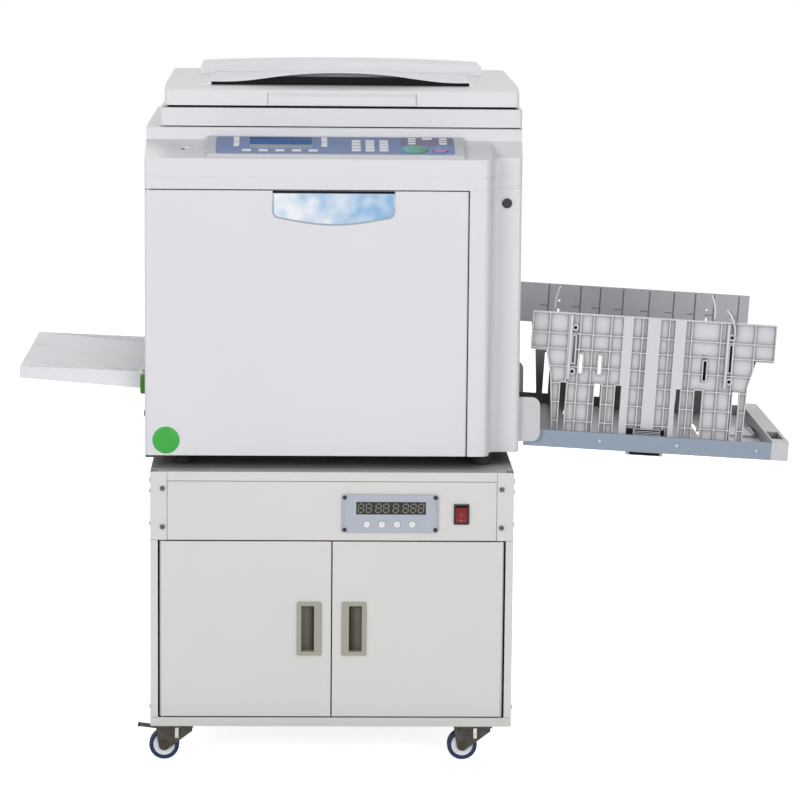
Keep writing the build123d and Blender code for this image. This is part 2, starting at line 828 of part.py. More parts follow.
# Floor pan of the duplicator with the front door's sill and pin, and the lift rods
with BuildPart() as base_frame:
    block((body_left + skin, body_right - skin), (frame_front_y, body_rear - skin), (body_bottom, pan_top))
    pillar_space = (groove_x[0] - 2 * skin, body_right)
    pillar_space_y = (frame_front_y, pillar_face + pillar_corner)
    block(pillar_space, pillar_space_y, (body_bottom, pan_top), mode=Mode.SUBTRACT)
    sill_x = (body_left + 1, body_left + 3 * door_corner)
    sill_y = (body_front + 1, frame_front_y + 3 * skin)
    sill_z = (body_bottom - door_sill, body_bottom)
    block(sill_x, sill_y, sill_z)
    rod("z", front_pivot, (sill_z[0], body_bottom + stand_pin_length), door_pin_radius)
    for end in (-1, 1):
        rod_place = (lift_rod_x, paper_centre + end * lift_rod_spread)
        rod("z", rod_place, (pan_top, lift_rod_top), lift_rod_radius)
save(base_frame, "base_frame")

# Rubber feet between the floor pan and the cabinet's top
with BuildPart() as body_feet:
    for x in (-foot_x, foot_x):
        for y in (foot_front_y, foot_rear_y):
            rod("z", (x, y), (stand_top_z, body_bottom), foot_radius)
    chamfer(body_feet.edges().filter_by(GeomType.CIRCLE).group_by(Axis.Z)[0], 2.0)
save(body_feet, "body_feet")

# Front and rear plates of the chassis, with the drum's opening and the bearing bores
with BuildPart() as chassis_plates:
    front_plate = (frame_front_y, groove_x[0] - 2 * skin)
    rear_plate = (frame_rear_y, body_right - frame_side_gap)
    for plate_y, plate_right in (front_plate, rear_plate):
        plate_x = (body_left + frame_side_gap, plate_right)
        block(plate_x, (plate_y, plate_y + frame_sheet), (pan_top, fascia_z))
        bore_y = (plate_y, plate_y + frame_sheet)
        rod("y", (drum_x, roller_z), bore_y, journal_radius + running_fit, mode=Mode.SUBTRACT)
        rod("y", (pickup_x, pickup_z), bore_y, pickup_shaft_radius + running_fit, mode=Mode.SUBTRACT)
    front_bore = (frame_front_y, frame_front_y + frame_sheet)
    rear_bore = (frame_rear_y, frame_rear_y + frame_sheet)
    rod("y", (drum_x, drum_z), front_bore, drum_opening_radius, mode=Mode.SUBTRACT)
    rod("y", (drum_x, drum_z), rear_bore, drum_tail_radius + running_fit, mode=Mode.SUBTRACT)
save(chassis_plates, "chassis_plates")

# Left side cover with the feed mouth, the knob's bore and the button's bore
with BuildPart() as left_cover:
    block((body_left, body_left + skin), (cover_front_edge, body_rear - skin), (body_bottom, fascia_z))
    flange_x = (body_left, body_left + 4 * skin)
    block(flange_x, (cover_front_edge, cover_front_edge + skin), (body_bottom, fascia_z))
    with BuildSketch(Plane.YZ.offset(body_left)):
        with Locations((paper_centre, (feed_mouth_low + feed_mouth_high) / 2)):
            RectangleRounded(feed_mouth_depth, feed_mouth_high - feed_mouth_low, feed_mouth_round)
        with Locations((knob_y, knob_z), (knob_y, feed_button_z)):
            Circle(stem_radius + running_fit)
    extrude(amount=skin, mode=Mode.SUBTRACT)
save(left_cover, "left_cover")


def pillar_curve(inset):
    """The right front corner: a hollow groove, the set-back face and the rounded corner, a little inside."""
    start = (groove_x[0] - inset, body_front + inset)
    end = (groove_x[1] - inset, pillar_face + inset)
    middle = ((start[0] + end[0]) / 2, (start[1] + end[1]) / 2)
    corner = (body_right - pillar_corner, end[1])
    Spline(start, middle, end, tangents=[(1, 0), (1, 0)])
    Line(end, corner)
    RadiusArc(corner, (body_right - inset, pillar_face + pillar_corner), inset - pillar_corner)


def pillar_outline(inset):
    """The whole outline of the right side cover seen from above."""
    pillar_curve(inset)
    Polyline(
        (body_right - inset, pillar_face + pillar_corner),
        (body_right - inset, body_rear - skin),
        (pillar_x + inset, body_rear - skin),
        (pillar_x + inset, body_front + inset),
        (groove_x[0] - inset, body_front + inset),
    )


# Right side cover with the front pillar and the paper exit
with BuildPart() as right_cover:
    with BuildSketch(Plane.XY.offset(body_bottom)):
        with BuildLine():
            pillar_outline(0)
        make_face()
    extrude(amount=fascia_z - body_bottom)
    with BuildSketch(Plane.XY.offset(body_bottom)):
        with BuildLine():
            pillar_outline(skin)
        make_face()
    extrude(amount=fascia_z - body_bottom, mode=Mode.SUBTRACT)
    cover_z_span = (body_bottom, fascia_z)
    block((pillar_x, pillar_x + skin), (cover_front_edge, body_rear), cover_z_span, mode=Mode.SUBTRACT)
    exit_y = around(paper_centre, exit_depth)
    block((body_right - skin, body_right), exit_y, (exit_low, exit_high), mode=Mode.SUBTRACT)
    button_y = (pillar_face, pillar_face + skin)
    button_bore = pillar_button_radius + running_fit
    rod("y", (pillar_button_x, pillar_button_z), button_y, button_bore, mode=Mode.SUBTRACT)
save(right_cover, "right_cover")

# Push button in the right pillar, with a collar that keeps it in
with BuildPart() as pillar_button:
    cap_y = (pillar_face - pillar_button_proud, pillar_face + skin)
    rod("y", (pillar_button_x, pillar_button_z), cap_y, pillar_button_radius)
    fillet(pillar_button.edges().filter_by(GeomType.CIRCLE).sort_by(Axis.Y)[0], 1.2)
    collar_y = (pillar_face + skin + seat_gap, pillar_face + 2 * skin)
    rod("y", (pillar_button_x, pillar_button_z), (cap_y[1], collar_y[1]), pillar_button_radius)
    rod("y", (pillar_button_x, pillar_button_z), collar_y, pillar_button_radius + 2)
save(pillar_button, "pillar_button")

# Rear cover with louvres and the cut-out for the power inlet
with BuildPart() as rear_cover:
    block((body_left, body_right), (body_rear - skin, body_rear), (body_bottom, fascia_z))
    with BuildSketch(Plane.XZ.offset(-body_rear)):
        with Locations((louvre_x, louvre_z)):
            with GridLocations(louvre_column_pitch, louvre_pitch, louvre_columns, louvre_rows):
                SlotOverall(louvre_length, louvre_height)
        with Locations((inlet_x, inlet_z)):
            Rectangle(inlet_width - inlet_border, inlet_height - inlet_border)
    extrude(amount=skin, mode=Mode.SUBTRACT)
save(rear_cover, "rear_cover")

# Power inlet with three contact pins
with BuildPart() as power_inlet:
    block(
        around(inlet_x, inlet_width),
        (body_rear, body_rear + inlet_flange),
        around(inlet_z, inlet_height),
    )
    fillet(power_inlet.edges().filter_by(Axis.Y), 2.0)
    block(
        around(inlet_x, inlet_width - inlet_border - seat_gap),
        (body_rear - inlet_depth, body_rear),
        around(inlet_z, inlet_height - inlet_border - seat_gap),
    )
    mouth_y = (body_rear + inlet_flange - inlet_mouth_depth, body_rear + inlet_flange)
    block(
        around(inlet_x, inlet_mouth_width),
        mouth_y,
        around(inlet_z, inlet_mouth_height),
        mode=Mode.SUBTRACT,
    )
    for step in (-1, 0, 1):
        pin_z = inlet_z + (2.0 if step == 0 else -2.0)
        pin_y = (mouth_y[0], mouth_y[0] + inlet_pin_length)
        rod("y", (inlet_x + step * inlet_pin_pitch, pin_z), pin_y, inlet_pin)
save(power_inlet, "power_inlet")

# Upper cover: fascia with a seam round it, sloped shelf and rear deck, hollow below, with a set-back corner
shelf_line = [
    (body_front, fascia_z),
    (body_front, shelf_front_z),
    (lip_y, shelf_top_z),
    (lip_y, body_top),
    (body_rear, body_top),
    (body_rear, fascia_z),
]
hollow_line = [
    (body_front + skin, fascia_z),
    (body_front + skin, shelf_front_z - skin),
    (lip_y + skin, shelf_top_z - skin),
    (lip_y + skin, body_top - skin),
    (body_rear - skin, body_top - skin),
    (body_rear - skin, fascia_z),
]
set_back_line = [
    (body_front, shelf_front_z),
    (pillar_face, shelf_front_z),
    (lip_y, shelf_top_z),
    (lip_y, shelf_top_z + edge_round),
    (body_front, shelf_top_z),
]
with BuildPart() as upper_cover:
    side_profile(shelf_line, (body_left, body_right))
    fillet(upper_cover.edges().filter_by(Axis.X).sort_by_distance((0, lip_y, body_top))[0], edge_round)
    corner_edges = upper_cover.edges().filter_by(Axis.Z)
    fillet(corner_edges.sort_by_distance((body_left, body_front, fascia_z))[0], door_corner)
    with BuildSketch(Plane.XY.offset(fascia_z)):
        with BuildLine():
            pillar_curve(0)
            Polyline(
                (body_right, pillar_face + pillar_corner),
                (body_right + 1, pillar_face + pillar_corner),
                (body_right + 1, body_front - 1),
                (groove_x[0], body_front - 1),
                (groove_x[0], body_front),
            )
        make_face()
    extrude(amount=body_top - fascia_z, mode=Mode.SUBTRACT)
    side_profile(set_back_line, (groove_x[1] - 2 * pillar_corner, body_right), mode=Mode.SUBTRACT)
    side_profile(hollow_line, (body_left + skin, groove_x[0] - skin), mode=Mode.SUBTRACT)
    corner_hollow = [
        (pillar_face + skin, fascia_z),
        (pillar_face + skin, shelf_front_z - 2 * skin),
        (lip_y + skin, shelf_top_z - 3 * skin),
        (lip_y + skin, body_top - skin),
        (body_rear - skin, body_top - skin),
        (body_rear - skin, fascia_z),
    ]
    side_profile(corner_hollow, (groove_x[0] - skin, body_right - skin), mode=Mode.SUBTRACT)
    rod("z", front_pivot, (front_door_z[1] - stand_pin_length, fascia_z), door_pin_radius)
    rod("z", front_pivot, (fascia_z, fascia_z + 5 * skin), door_bush_radius)
    with BuildSketch(shelf_plane):
        with Locations((shelf_pocket_x, shelf_pocket_v)):
            RectangleRounded(shelf_pocket_width, shelf_pocket_height, edge_round / 2)
    extrude(amount=-shelf_pocket_depth, mode=Mode.SUBTRACT)
    line_left = shelf_pocket_x - shelf_pocket_width / 2
    with BuildSketch(shelf_plane):
        with Locations(((line_left + pod_left) / 2, shelf_line_v)):
            Rectangle(pod_left - line_left, shelf_line_height)
    extrude(amount=-seam_depth, mode=Mode.SUBTRACT)
    with BuildSketch(Plane.XY.offset(cover_seam_z)):
        Rectangle(4 * body_right, 4 * body_rear)
        with BuildLine():
            pillar_curve(seam_depth)
            Polyline(
                (body_right - seam_depth, pillar_face + pillar_corner),
                (body_right - seam_depth, body_rear),
                (body_left + seam_depth, body_rear),
                (body_left + seam_depth, body_front + door_corner),
            )
            RadiusArc(
                (body_left + seam_depth, body_front + door_corner),
                (body_left + door_corner, body_front + seam_depth),
                seam_depth - door_corner,
            )
            seam_front = body_front + seam_depth
            Line((body_left + door_corner, seam_front), (groove_x[0] - seam_depth, seam_front))
        make_face(mode=Mode.SUBTRACT)
    extrude(amount=seam_width, mode=Mode.SUBTRACT)
save(upper_cover, "upper_cover")

# Scanner housing, open below, with a set-back plinth and a rebate for the platen glass
with BuildPart() as scanner_housing:
    block((scanner_left, body_right), (scanner_front, scanner_rear), (body_top, deck_z))
    fillet(scanner_housing.edges().filter_by(Axis.Z), 2 * edge_round)
    fillet(scanner_housing.faces().sort_by(Axis.Z)[-1].edges(), edge_round / 2)
    hollow_x = (scanner_left + skin, body_right - skin)
    hollow_y = (scanner_front + skin, scanner_rear - skin)
    ring_top = body_top + 2 * skin
    block(hollow_x, hollow_y, (ring_top, deck_z - scanner_deck), mode=Mode.SUBTRACT)
    ring_x = (scanner_left + 3 * skin, body_right - 3 * skin)
    ring_y = (scanner_front + 3 * skin, scanner_rear - 3 * skin)
    block(ring_x, ring_y, (body_top, ring_top), mode=Mode.SUBTRACT)
    with BuildSketch(Plane.XY.offset(body_top)):
        with Locations(((scanner_left + body_right) / 2, (scanner_front + scanner_rear) / 2)):
            Rectangle(body_right - scanner_left, scanner_rear - scanner_front)
            plinth_width = body_right - scanner_left - 2 * scanner_plinth
            plinth_depth = scanner_rear - scanner_front - 2 * scanner_plinth
            Rectangle(plinth_width, plinth_depth, mode=Mode.SUBTRACT)
    extrude(amount=scanner_reveal, mode=Mode.SUBTRACT)
    rebate_z = (deck_z - glass_thickness, deck_z)
    rebate_x = around(glass_x, glass_width + seat_gap)
    block(rebate_x, around(glass_y, glass_depth + seat_gap), rebate_z, mode=Mode.SUBTRACT)
    light_x = around(glass_x, glass_width - 2 * glass_ledge)
    light_z = (deck_z - scanner_deck, deck_z)
    block(light_x, around(glass_y, glass_depth - 2 * glass_ledge), light_z, mode=Mode.SUBTRACT)
save(scanner_housing, "scanner_housing")

# Platen glass in the scanner's rebate
with BuildPart() as platen_glass:
    block(around(glass_x, glass_width), around(glass_y, glass_depth), (deck_z - glass_thickness, deck_z))
save(platen_glass, "platen_glass")

# Operation pod that lies on the sloped shelf, with wells for the start and stop keys
with BuildPart(shelf_plane) as operation_panel:
    block((pod_left, pod_right), (pod_start, pod_end), (0, pod_rise))
    front_edge = operation_panel.edges().filter_by(Axis.X).sort_by(Axis.Y)[:2].sort_by(Axis.Z)[-1]
    fillet(front_edge, edge_round)
    key_low = pod_rise + control_key_proud - control_key_length
    well = (key_low - control_key_travel - running_fit, pod_rise)
    rod("z", (stop_key_x, start_key_v), well, stop_key_radius + seat_gap, mode=Mode.SUBTRACT)
    with BuildSketch(shelf_plane.offset(well[0])):
        with Locations((start_key_x, start_key_v)):
            Ellipse(start_key_half_width + seat_gap, start_key_half_height + seat_gap)
    extrude(amount=control_key_length, mode=Mode.SUBTRACT)
save(operation_panel, "operation_panel")

# Soft keys, menu keys, number pad and mode keys, which stand out of one mat under the panel
with BuildPart(shelf_plane) as panel_keys:
    key_z = (pod_rise, pod_rise + key_rise)
    soft_row = [soft_key_x + step * soft_key_pitch for step in (-2, -1, 0, 1, 2)]
    key_groups = (
        (soft_row, [soft_key_v], soft_key_size),
        (menu_key_x, menu_key_v, menu_key_size),
        (pad_key_x, pad_key_v, pad_key_size),
        (mode_key_x, mode_key_v, mode_key_size),
        ([bar_key_x], [bar_key_v], bar_key_size),
    )
    for columns, rows, (key_width, key_height) in key_groups:
        for key_x in columns:
            for key_v in rows:
                block(around(key_x, key_width), around(key_v, key_height), key_z)
save(panel_keys, "panel_keys")

# Window of the liquid crystal display
with BuildPart(shelf_plane) as lcd_window:
    block(around(lcd_x, lcd_width), around(lcd_v, lcd_height), (pod_rise, pod_rise + lcd_rise))
save(lcd_window, "lcd_window")

# Start and stop keys
with BuildPart() as start_key:
    with BuildSketch(shelf_plane.offset(key_low)):
        with Locations((start_key_x, start_key_v)):
            Ellipse(start_key_half_width, start_key_half_height)
    extrude(amount=control_key_length)
save(start_key, "start_key")

with BuildPart() as stop_key:
    with BuildSketch(shelf_plane.offset(key_low)):
        with Locations((stop_key_x, start_key_v)):
            Circle(stop_key_radius)
    extrude(amount=control_key_length)
save(stop_key, "stop_key")

# Platen cover with its grip lip, hollow and ribbed below, with the pad under the ribs and hinge knuckles
nose_z = cover_z + cover_front_rise
slot_z = cover_z + cover_slot_rise
rear_z = cover_z + cover_rear_rise
lid_line = [
    (cover_front, cover_z),
    (cover_front, nose_z),
    (cover_front + cover_nose, nose_z + cover_nose / 4),
    (slot_y, slot_z),
    (cover_rear, rear_z),
    (cover_rear, cover_z),
]
lid_hollow = [
    (cover_front + skin, cover_z),
    (cover_front + skin, nose_z - skin),
    (slot_y, slot_z - skin - 1),
    (cover_rear - skin, rear_z - skin - 1),
    (cover_rear - skin, cover_z),
]
with BuildPart() as platen_cover:
    side_profile(lid_line, (cover_left, cover_right))
    fillet(platen_cover.edges().filter_by(Axis.Z), cover_round)
    grip_line = [
        (cover_front, cover_z + grip_low),
        (cover_front - grip_proud, cover_z + grip_low),
        (cover_front - grip_proud, cover_z + grip_high),
        (cover_front, cover_z + grip_shoulder),
    ]
    side_profile(grip_line, (grip_left, grip_right))
    side_profile(lid_hollow, (cover_left + skin, cover_right - skin), mode=Mode.SUBTRACT)
    for side in (-1, 1):
        for turn in (-1, 1):
            near = cover_middle + side * hinge_spread + turn * (hinge_half + seat_gap)
            knuckle = sorted((near, near + turn * hinge_knuckle))
            block(knuckle, (cover_rear, hinge_y), around(hinge_z, 2 * hinge_radius - 1))
            rod("x", (hinge_y, hinge_z), knuckle, hinge_radius)
            rod("x", (hinge_y, hinge_z), knuckle, hinge_pin_radius + running_fit, mode=Mode.SUBTRACT)
    pad_x = (cover_left + pad_margin, cover_right - pad_margin)
    pad_y = (cover_front + pad_margin, cover_rear - pad_margin)
    pad_top = deck_z + seat_gap + pad_thickness
    block(pad_x, pad_y, (deck_z + seat_gap, pad_top))
    pad_rib = [
        (slot_y, pad_top),
        (slot_y, slot_z - skin),
        (cover_rear - skin, rear_z - skin),
        (cover_rear - skin, pad_top),
    ]
    for share in pad_rib_shares:
        rib_x = pad_x[0] + share * (pad_x[1] - pad_x[0])
        side_profile(pad_rib, around(rib_x, skin))
save(platen_cover, "platen_cover")


def arch_section(y, drop, widen):
    """The hood's roof line at one depth: low sides and an arched middle that fades to the rear."""
    share = 1.0 - (1.0 - arch_rear_share) * (y - slot_y) / (hood_y - slot_y)
    base = slot_z + slot_lift - drop
    top = base + arch_lift * share
    middle = (slot_left + slot_right) / 2
    low = slot_z - skin
    left = middle - arch_half
    right = middle + arch_half
    Polyline((slot_right + widen, low), (slot_right, base), (right, base))
    Spline(
        (right, base),
        (middle + arch_flat, top),
        (middle - arch_flat, top),
        (left, base),
        tangents=[(-1, 0), (-1, 0)],
    )
    Polyline((left, base), (slot_left, base), (slot_left - widen, low), (slot_right + widen, low))


# Arched hood on the platen cover, with the shallow slot under its front edge and the raised rear deck
with BuildPart() as cover_hood:
    for section_y in (slot_y, hood_y):
        with BuildSketch(Plane.XZ.offset(-section_y)):
            with BuildLine():
                arch_section(section_y, 0.0, slot_side)
            make_face()
    loft()
    with BuildSketch(Plane.XZ.offset(-hood_rear)):
        with BuildLine():
            hood_side_z = rear_z + hood_rise
            ThreePointArc(
                (hood_right, hood_side_z),
                ((hood_left + hood_right) / 2, hood_side_z + hood_crown),
                (hood_left, hood_side_z),
            )
            Polyline(
                (hood_left, hood_side_z),
                (hood_left, slot_z),
                (hood_right, slot_z),
                (hood_right, hood_side_z),
            )
        make_face()
    extrude(amount=hood_rear - hood_y)
    fillet(cover_hood.edges().filter_by(Axis.Y).group_by(Axis.Z)[-1], edge_round)
    lid_fall = (rear_z - slot_z) / (cover_rear - slot_y)
    lid_wedge = [
        (slot_y - 1, cover_z),
        (slot_y - 1, slot_z - lid_fall),
        (cover_rear, rear_z),
        (cover_rear, cover_z),
    ]
    side_profile(lid_wedge, (cover_left, cover_right), mode=Mode.SUBTRACT)
    for section_y in (slot_y, slot_y + slot_length):
        with BuildSketch(Plane.XZ.offset(-section_y)):
            with BuildLine():
                arch_section(section_y, slot_roof, 0.0)
            make_face()
    loft(mode=Mode.SUBTRACT)
save(cover_hood, "cover_hood")

# Hinge brackets and pins of the platen cover
with BuildPart() as cover_hinges:
    for side in (-1, 1):
        x = cover_middle + side * hinge_spread
        block(around(x, 2 * hinge_half), around(hinge_y, 2 * (hinge_radius - skin)), (deck_z, hinge_z))
        rod("x", (hinge_y, hinge_z), around(x, 2 * hinge_half), hinge_radius)
        rod("x", (hinge_y, hinge_z), around(x, 2 * (hinge_half + hinge_knuckle)), hinge_pin_radius)
save(cover_hinges, "cover_hinges")

# Front door, a moulded shell with pivot bushes at its left edge and a finger recess at the top
with BuildPart() as front_door:
    block((body_left, front_door_right), (body_front, body_front + door_depth), front_door_z)
    hinge_corner = (body_left, body_front, front_door_z[0])
    far_corner = (front_door_right, body_front, front_door_z[0])
    fillet(front_door.edges().filter_by(Axis.Z).sort_by_distance(hinge_corner)[0], door_corner)
    fillet(front_door.edges().filter_by(Axis.Z).sort_by_distance(far_corner)[0], edge_round)
    hollow_x = (body_left + skin, front_door_right - skin)
    hollow_z = (front_door_z[0] + skin, front_door_z[1] - skin)
    block(hollow_x, (body_front + skin, body_front + door_depth), hollow_z, mode=Mode.SUBTRACT)
    bush_low = (front_door_z[0], front_door_z[0] + pivot_bush_length)
    bush_high = (front_door_z[1] - pivot_bush_length, front_door_z[1])
    for bush in (bush_low, bush_high):
        rod("z", front_pivot, bush, door_bush_radius)
        rod("z", front_pivot, bush, door_pin_radius + running_fit, mode=Mode.SUBTRACT)
    finger_x = around(0, door_finger_width)
    finger_y = (body_front, body_front + door_finger_depth)
    finger_z = (front_door_z[1] - door_finger_height, front_door_z[1])
    block(finger_x, finger_y, (finger_z[0] - skin, finger_z[1]))
    block(finger_x, (body_front, finger_y[1] - skin), finger_z, mode=Mode.SUBTRACT)
    for rib_z in (0.25, 0.5, 0.75):
        height = front_door_z[0] + rib_z * door_height
        block(hollow_x, (body_front + skin, body_front + 3 * skin), around(height, skin))
save(front_door, "front_door")

# Printing drum: a thin screen cylinder with an end flange at each end, turning on the drum frame
with BuildPart() as print_drum:
    drum_y = (-drum_half_length, drum_half_length)
    rod("y", (drum_x, drum_z), drum_y, drum_radius)
    inside = (drum_y[0] + drum_flange, drum_y[1] - drum_flange)
    rod("y", (drum_x, drum_z), inside, drum_radius - drum_wall, mode=Mode.SUBTRACT)
    rod("y", (drum_x, drum_z), drum_y, drum_tube_radius + running_fit, mode=Mode.SUBTRACT)
save(print_drum, "print_drum")

# Drum frame: the tube that carries the drum, its front bridge with a grip, and its tail pin
with BuildPart() as drum_frame:
    tube_y = (tube_front_y, drum_half_length + drum_flange)
    rod("y", (drum_x, drum_z), tube_y, drum_tube_radius)
    bridge_y = (tube_front_y, frame_front_y)
    block(around(drum_x, drum_bridge_width), bridge_y, around(drum_z, drum_bridge_height))
    rod("y", (drum_x, drum_z), bridge_y, drum_tube_radius + 4 * skin)
    rod("y", (drum_x, drum_z), (tube_y[1], frame_rear_y + frame_sheet), drum_tail_radius)
    bore_y = (tube_y[0], tube_y[1] - drum_tube_wall)
    rod("y", (drum_x, drum_z), bore_y, drum_tube_radius - drum_tube_wall, mode=Mode.SUBTRACT)
    grip_z = drum_z + drum_tube_radius
    for side in (-1, 1):
        post_x = around(drum_x + side * (drum_grip_width - drum_grip_bar) / 2, drum_grip_bar)
        post_y = (tube_front_y - drum_grip_proud + drum_grip_bar, tube_front_y)
        block(post_x, post_y, around(grip_z, drum_grip_bar))
    grip_y = (tube_front_y - drum_grip_proud, post_y[0])
    block(around(drum_x, drum_grip_width), grip_y, around(grip_z, drum_grip_bar))
    fillet(drum_frame.edges().filter_by(Axis.X).sort_by(Axis.Y)[:2], 2.5)
save(drum_frame, "drum_frame")

# Ink bottle inside the drum frame, with its turning knob
with BuildPart() as ink_bottle:
    bottle_radius = drum_tube_radius - drum_tube_wall - seat_gap
    rod("y", (drum_x, drum_z), (tube_front_y + 2, bottle_rear_y), bottle_radius)
    rod("y", (drum_x, drum_z), (tube_front_y - bottle_front, tube_front_y + 2), bottle_knob_radius)
    fillet(ink_bottle.edges().filter_by(GeomType.CIRCLE).sort_by(Axis.Y)[0], 2.0)
    knob_cut = (tube_front_y - bottle_front, tube_front_y - skin)
    for side in (-1, 1):
        cut_x = sorted((drum_x + side * 5.0, drum_x + side * (bottle_knob_radius + 1)))
        block(cut_x, knob_cut, around(drum_z, 2 * bottle_knob_radius - 20.0), mode=Mode.SUBTRACT)
save(ink_bottle, "ink_bottle")

# Pressure roller under the drum, with its journals in the chassis plates
with BuildPart() as pressure_roller:
    rod("y", (drum_x, roller_z), (-roller_half_length, roller_half_length), roller_radius)
    rod("y", (drum_x, roller_z), (frame_front_y, frame_rear_y + frame_sheet), journal_radius)
save(pressure_roller, "pressure_roller")

# Pickup roller over the feed tray's inner end, on its shaft
with BuildPart() as pickup_roller:
    rod("y", (pickup_x, pickup_z), around(paper_centre, 2 * pickup_half_length), pickup_radius)
    rod("y", (pickup_x, pickup_z), (frame_front_y, frame_rear_y + frame_sheet), pickup_shaft_radius)
save(pickup_roller, "pickup_roller")

# Feed lift: a carriage on the two lift rods, with two arms that carry the feed tray's pins
arm_z = around(feed_hinge_z, 2 * feed_arm_radius)
with BuildPart() as feed_lift:
    plate_z = (arm_z[0], arm_z[0] + skin)
    block(lift_plate_x, around(paper_centre, 2 * lift_plate_half), plate_z)
    for end in (-1, 1):
        rod_place = (lift_rod_x, paper_centre + end * lift_rod_spread)
        rod("z", rod_place, (plate_z[0] - lift_bush_length, plate_z[1]), lift_bush_radius)
        bush_z = (plate_z[0] - lift_bush_length, plate_z[1])
        rod("z", rod_place, bush_z, lift_rod_radius + running_fit, mode=Mode.SUBTRACT)
        arm_y = around(paper_centre + end * feed_arm_spread, feed_arm_width)
        block((feed_hinge_x, lift_plate_x[1]), arm_y, arm_z)
        rod("y", (feed_hinge_x, feed_hinge_z), arm_y, feed_arm_radius)
        pin_start = paper_centre + end * feed_arm_spread
        pin_end = pin_start + end * (feed_arm_width / 2 + feed_lug_width + 1)
        rod("y", (feed_hinge_x, feed_hinge_z), sorted((pin_start, pin_end)), feed_pin_radius)
save(feed_lift, "feed_lift")


def feed_point(along, up):
    """A point of the feed tray's side view, from its inner end outwards and above its deck."""
    deck = feed_hinge_z - feed_deck_drop
    return (
        feed_hinge_x - along * feed_cos + up * feed_sin,
        deck + along * feed_sin + up * feed_cos,
    )


# Feed tray: a tilted deck with side walls and skirts, a finger dip and two hinge lugs
with BuildPart() as feed_tray:
    outline = [
        feed_point(0, -feed_outer_skirt),
        feed_point(feed_length, -feed_outer_skirt),
        feed_point(feed_length, 0),
        feed_point(0, feed_inner_wall),
    ]
    front_profile(outline, (feed_low, feed_high))
    walls = (feed_low + feed_wall, feed_high - feed_wall)
    above = [
        feed_point(-5, 0),
        feed_point(feed_length + 5, 0),
        feed_point(feed_length + 5, feed_inner_wall + 5),
        feed_point(-5, feed_inner_wall + 5),
    ]
    front_profile(above, walls, mode=Mode.SUBTRACT)
    below = [
        feed_point(-5, -feed_outer_skirt - 5),
        feed_point(feed_length - feed_wall, -feed_outer_skirt - 5),
        feed_point(feed_length - feed_wall, -feed_deck),
        feed_point(-5, -feed_deck),
    ]
    front_profile(below, walls, mode=Mode.SUBTRACT)
    dip = [
        feed_point(feed_length - feed_notch_length, -feed_notch_deep),
        feed_point(feed_length + 5, -feed_notch_deep),
        feed_point(feed_length + 5, 5),
        feed_point(feed_length - feed_notch_length, 5),
    ]
    front_profile(dip, around(feed_notch_y, feed_notch_width), mode=Mode.SUBTRACT)
    for end in (-1, 1):
        arm_slot = around(paper_centre + end * feed_arm_spread, feed_arm_width + 2)
        lug_near = paper_centre + end * (feed_arm_spread + feed_arm_width / 2 + 0.5)
        lug_y = sorted((lug_near, lug_near + end * feed_lug_width))
        gap_x = (feed_hinge_x - 2 * feed_arm_radius, feed_hinge_x + 5)
        gap_z = (feed_hinge_z - 3 * feed_arm_radius, feed_hinge_z + 3 * feed_arm_radius)
        block(gap_x, (arm_slot[0], arm_slot[1]), gap_z, mode=Mode.SUBTRACT)
        rod("y", (feed_hinge_x, feed_hinge_z), lug_y, feed_lug_radius)
        rod("y", (feed_hinge_x, feed_hinge_z), lug_y, feed_pin_radius + running_fit, mode=Mode.SUBTRACT)
save(feed_tray, "feed_tray")

# Green knob on the left side cover, with a fluted rim and a stem through the cover
with BuildPart() as feed_knob:
    rod("x", (knob_y, knob_z), (body_left - knob_length, body_left - seat_gap), knob_radius)
    fillet(feed_knob.edges().filter_by(GeomType.CIRCLE).sort_by(Axis.X)[0], 1.5)
    with BuildSketch(Plane.YZ.offset(body_left - knob_length)):
        with Locations((knob_y, knob_z)):
            with PolarLocations(knob_radius + 1.2, knob_flutes):
                Circle(knob_flute_radius)
    extrude(amount=knob_length, mode=Mode.SUBTRACT)
    rod("x", (knob_y, knob_z), (body_left - 1, body_left + skin + 4), stem_radius)
    rod("x", (knob_y, knob_z), (body_left + skin + seat_gap, body_left + skin + 4), stem_radius + 2)
save(feed_knob, "feed_knob")

# Button below the knob that lowers the feed tray
with BuildPart() as feed_button:
    cap_x = (body_left - side_button_proud, body_left - side_button_proud / 2)
    rod("x", (knob_y, feed_button_z), cap_x, side_button_radius)
    stem_x = (body_left - side_button_proud, body_left + skin + button_stem)
    rod("x", (knob_y, feed_button_z), stem_x, stem_radius)
    rod("x", (knob_y, feed_button_z), (body_left + skin + seat_gap, stem_x[1]), stem_radius + 2)
save(feed_button, "feed_button")

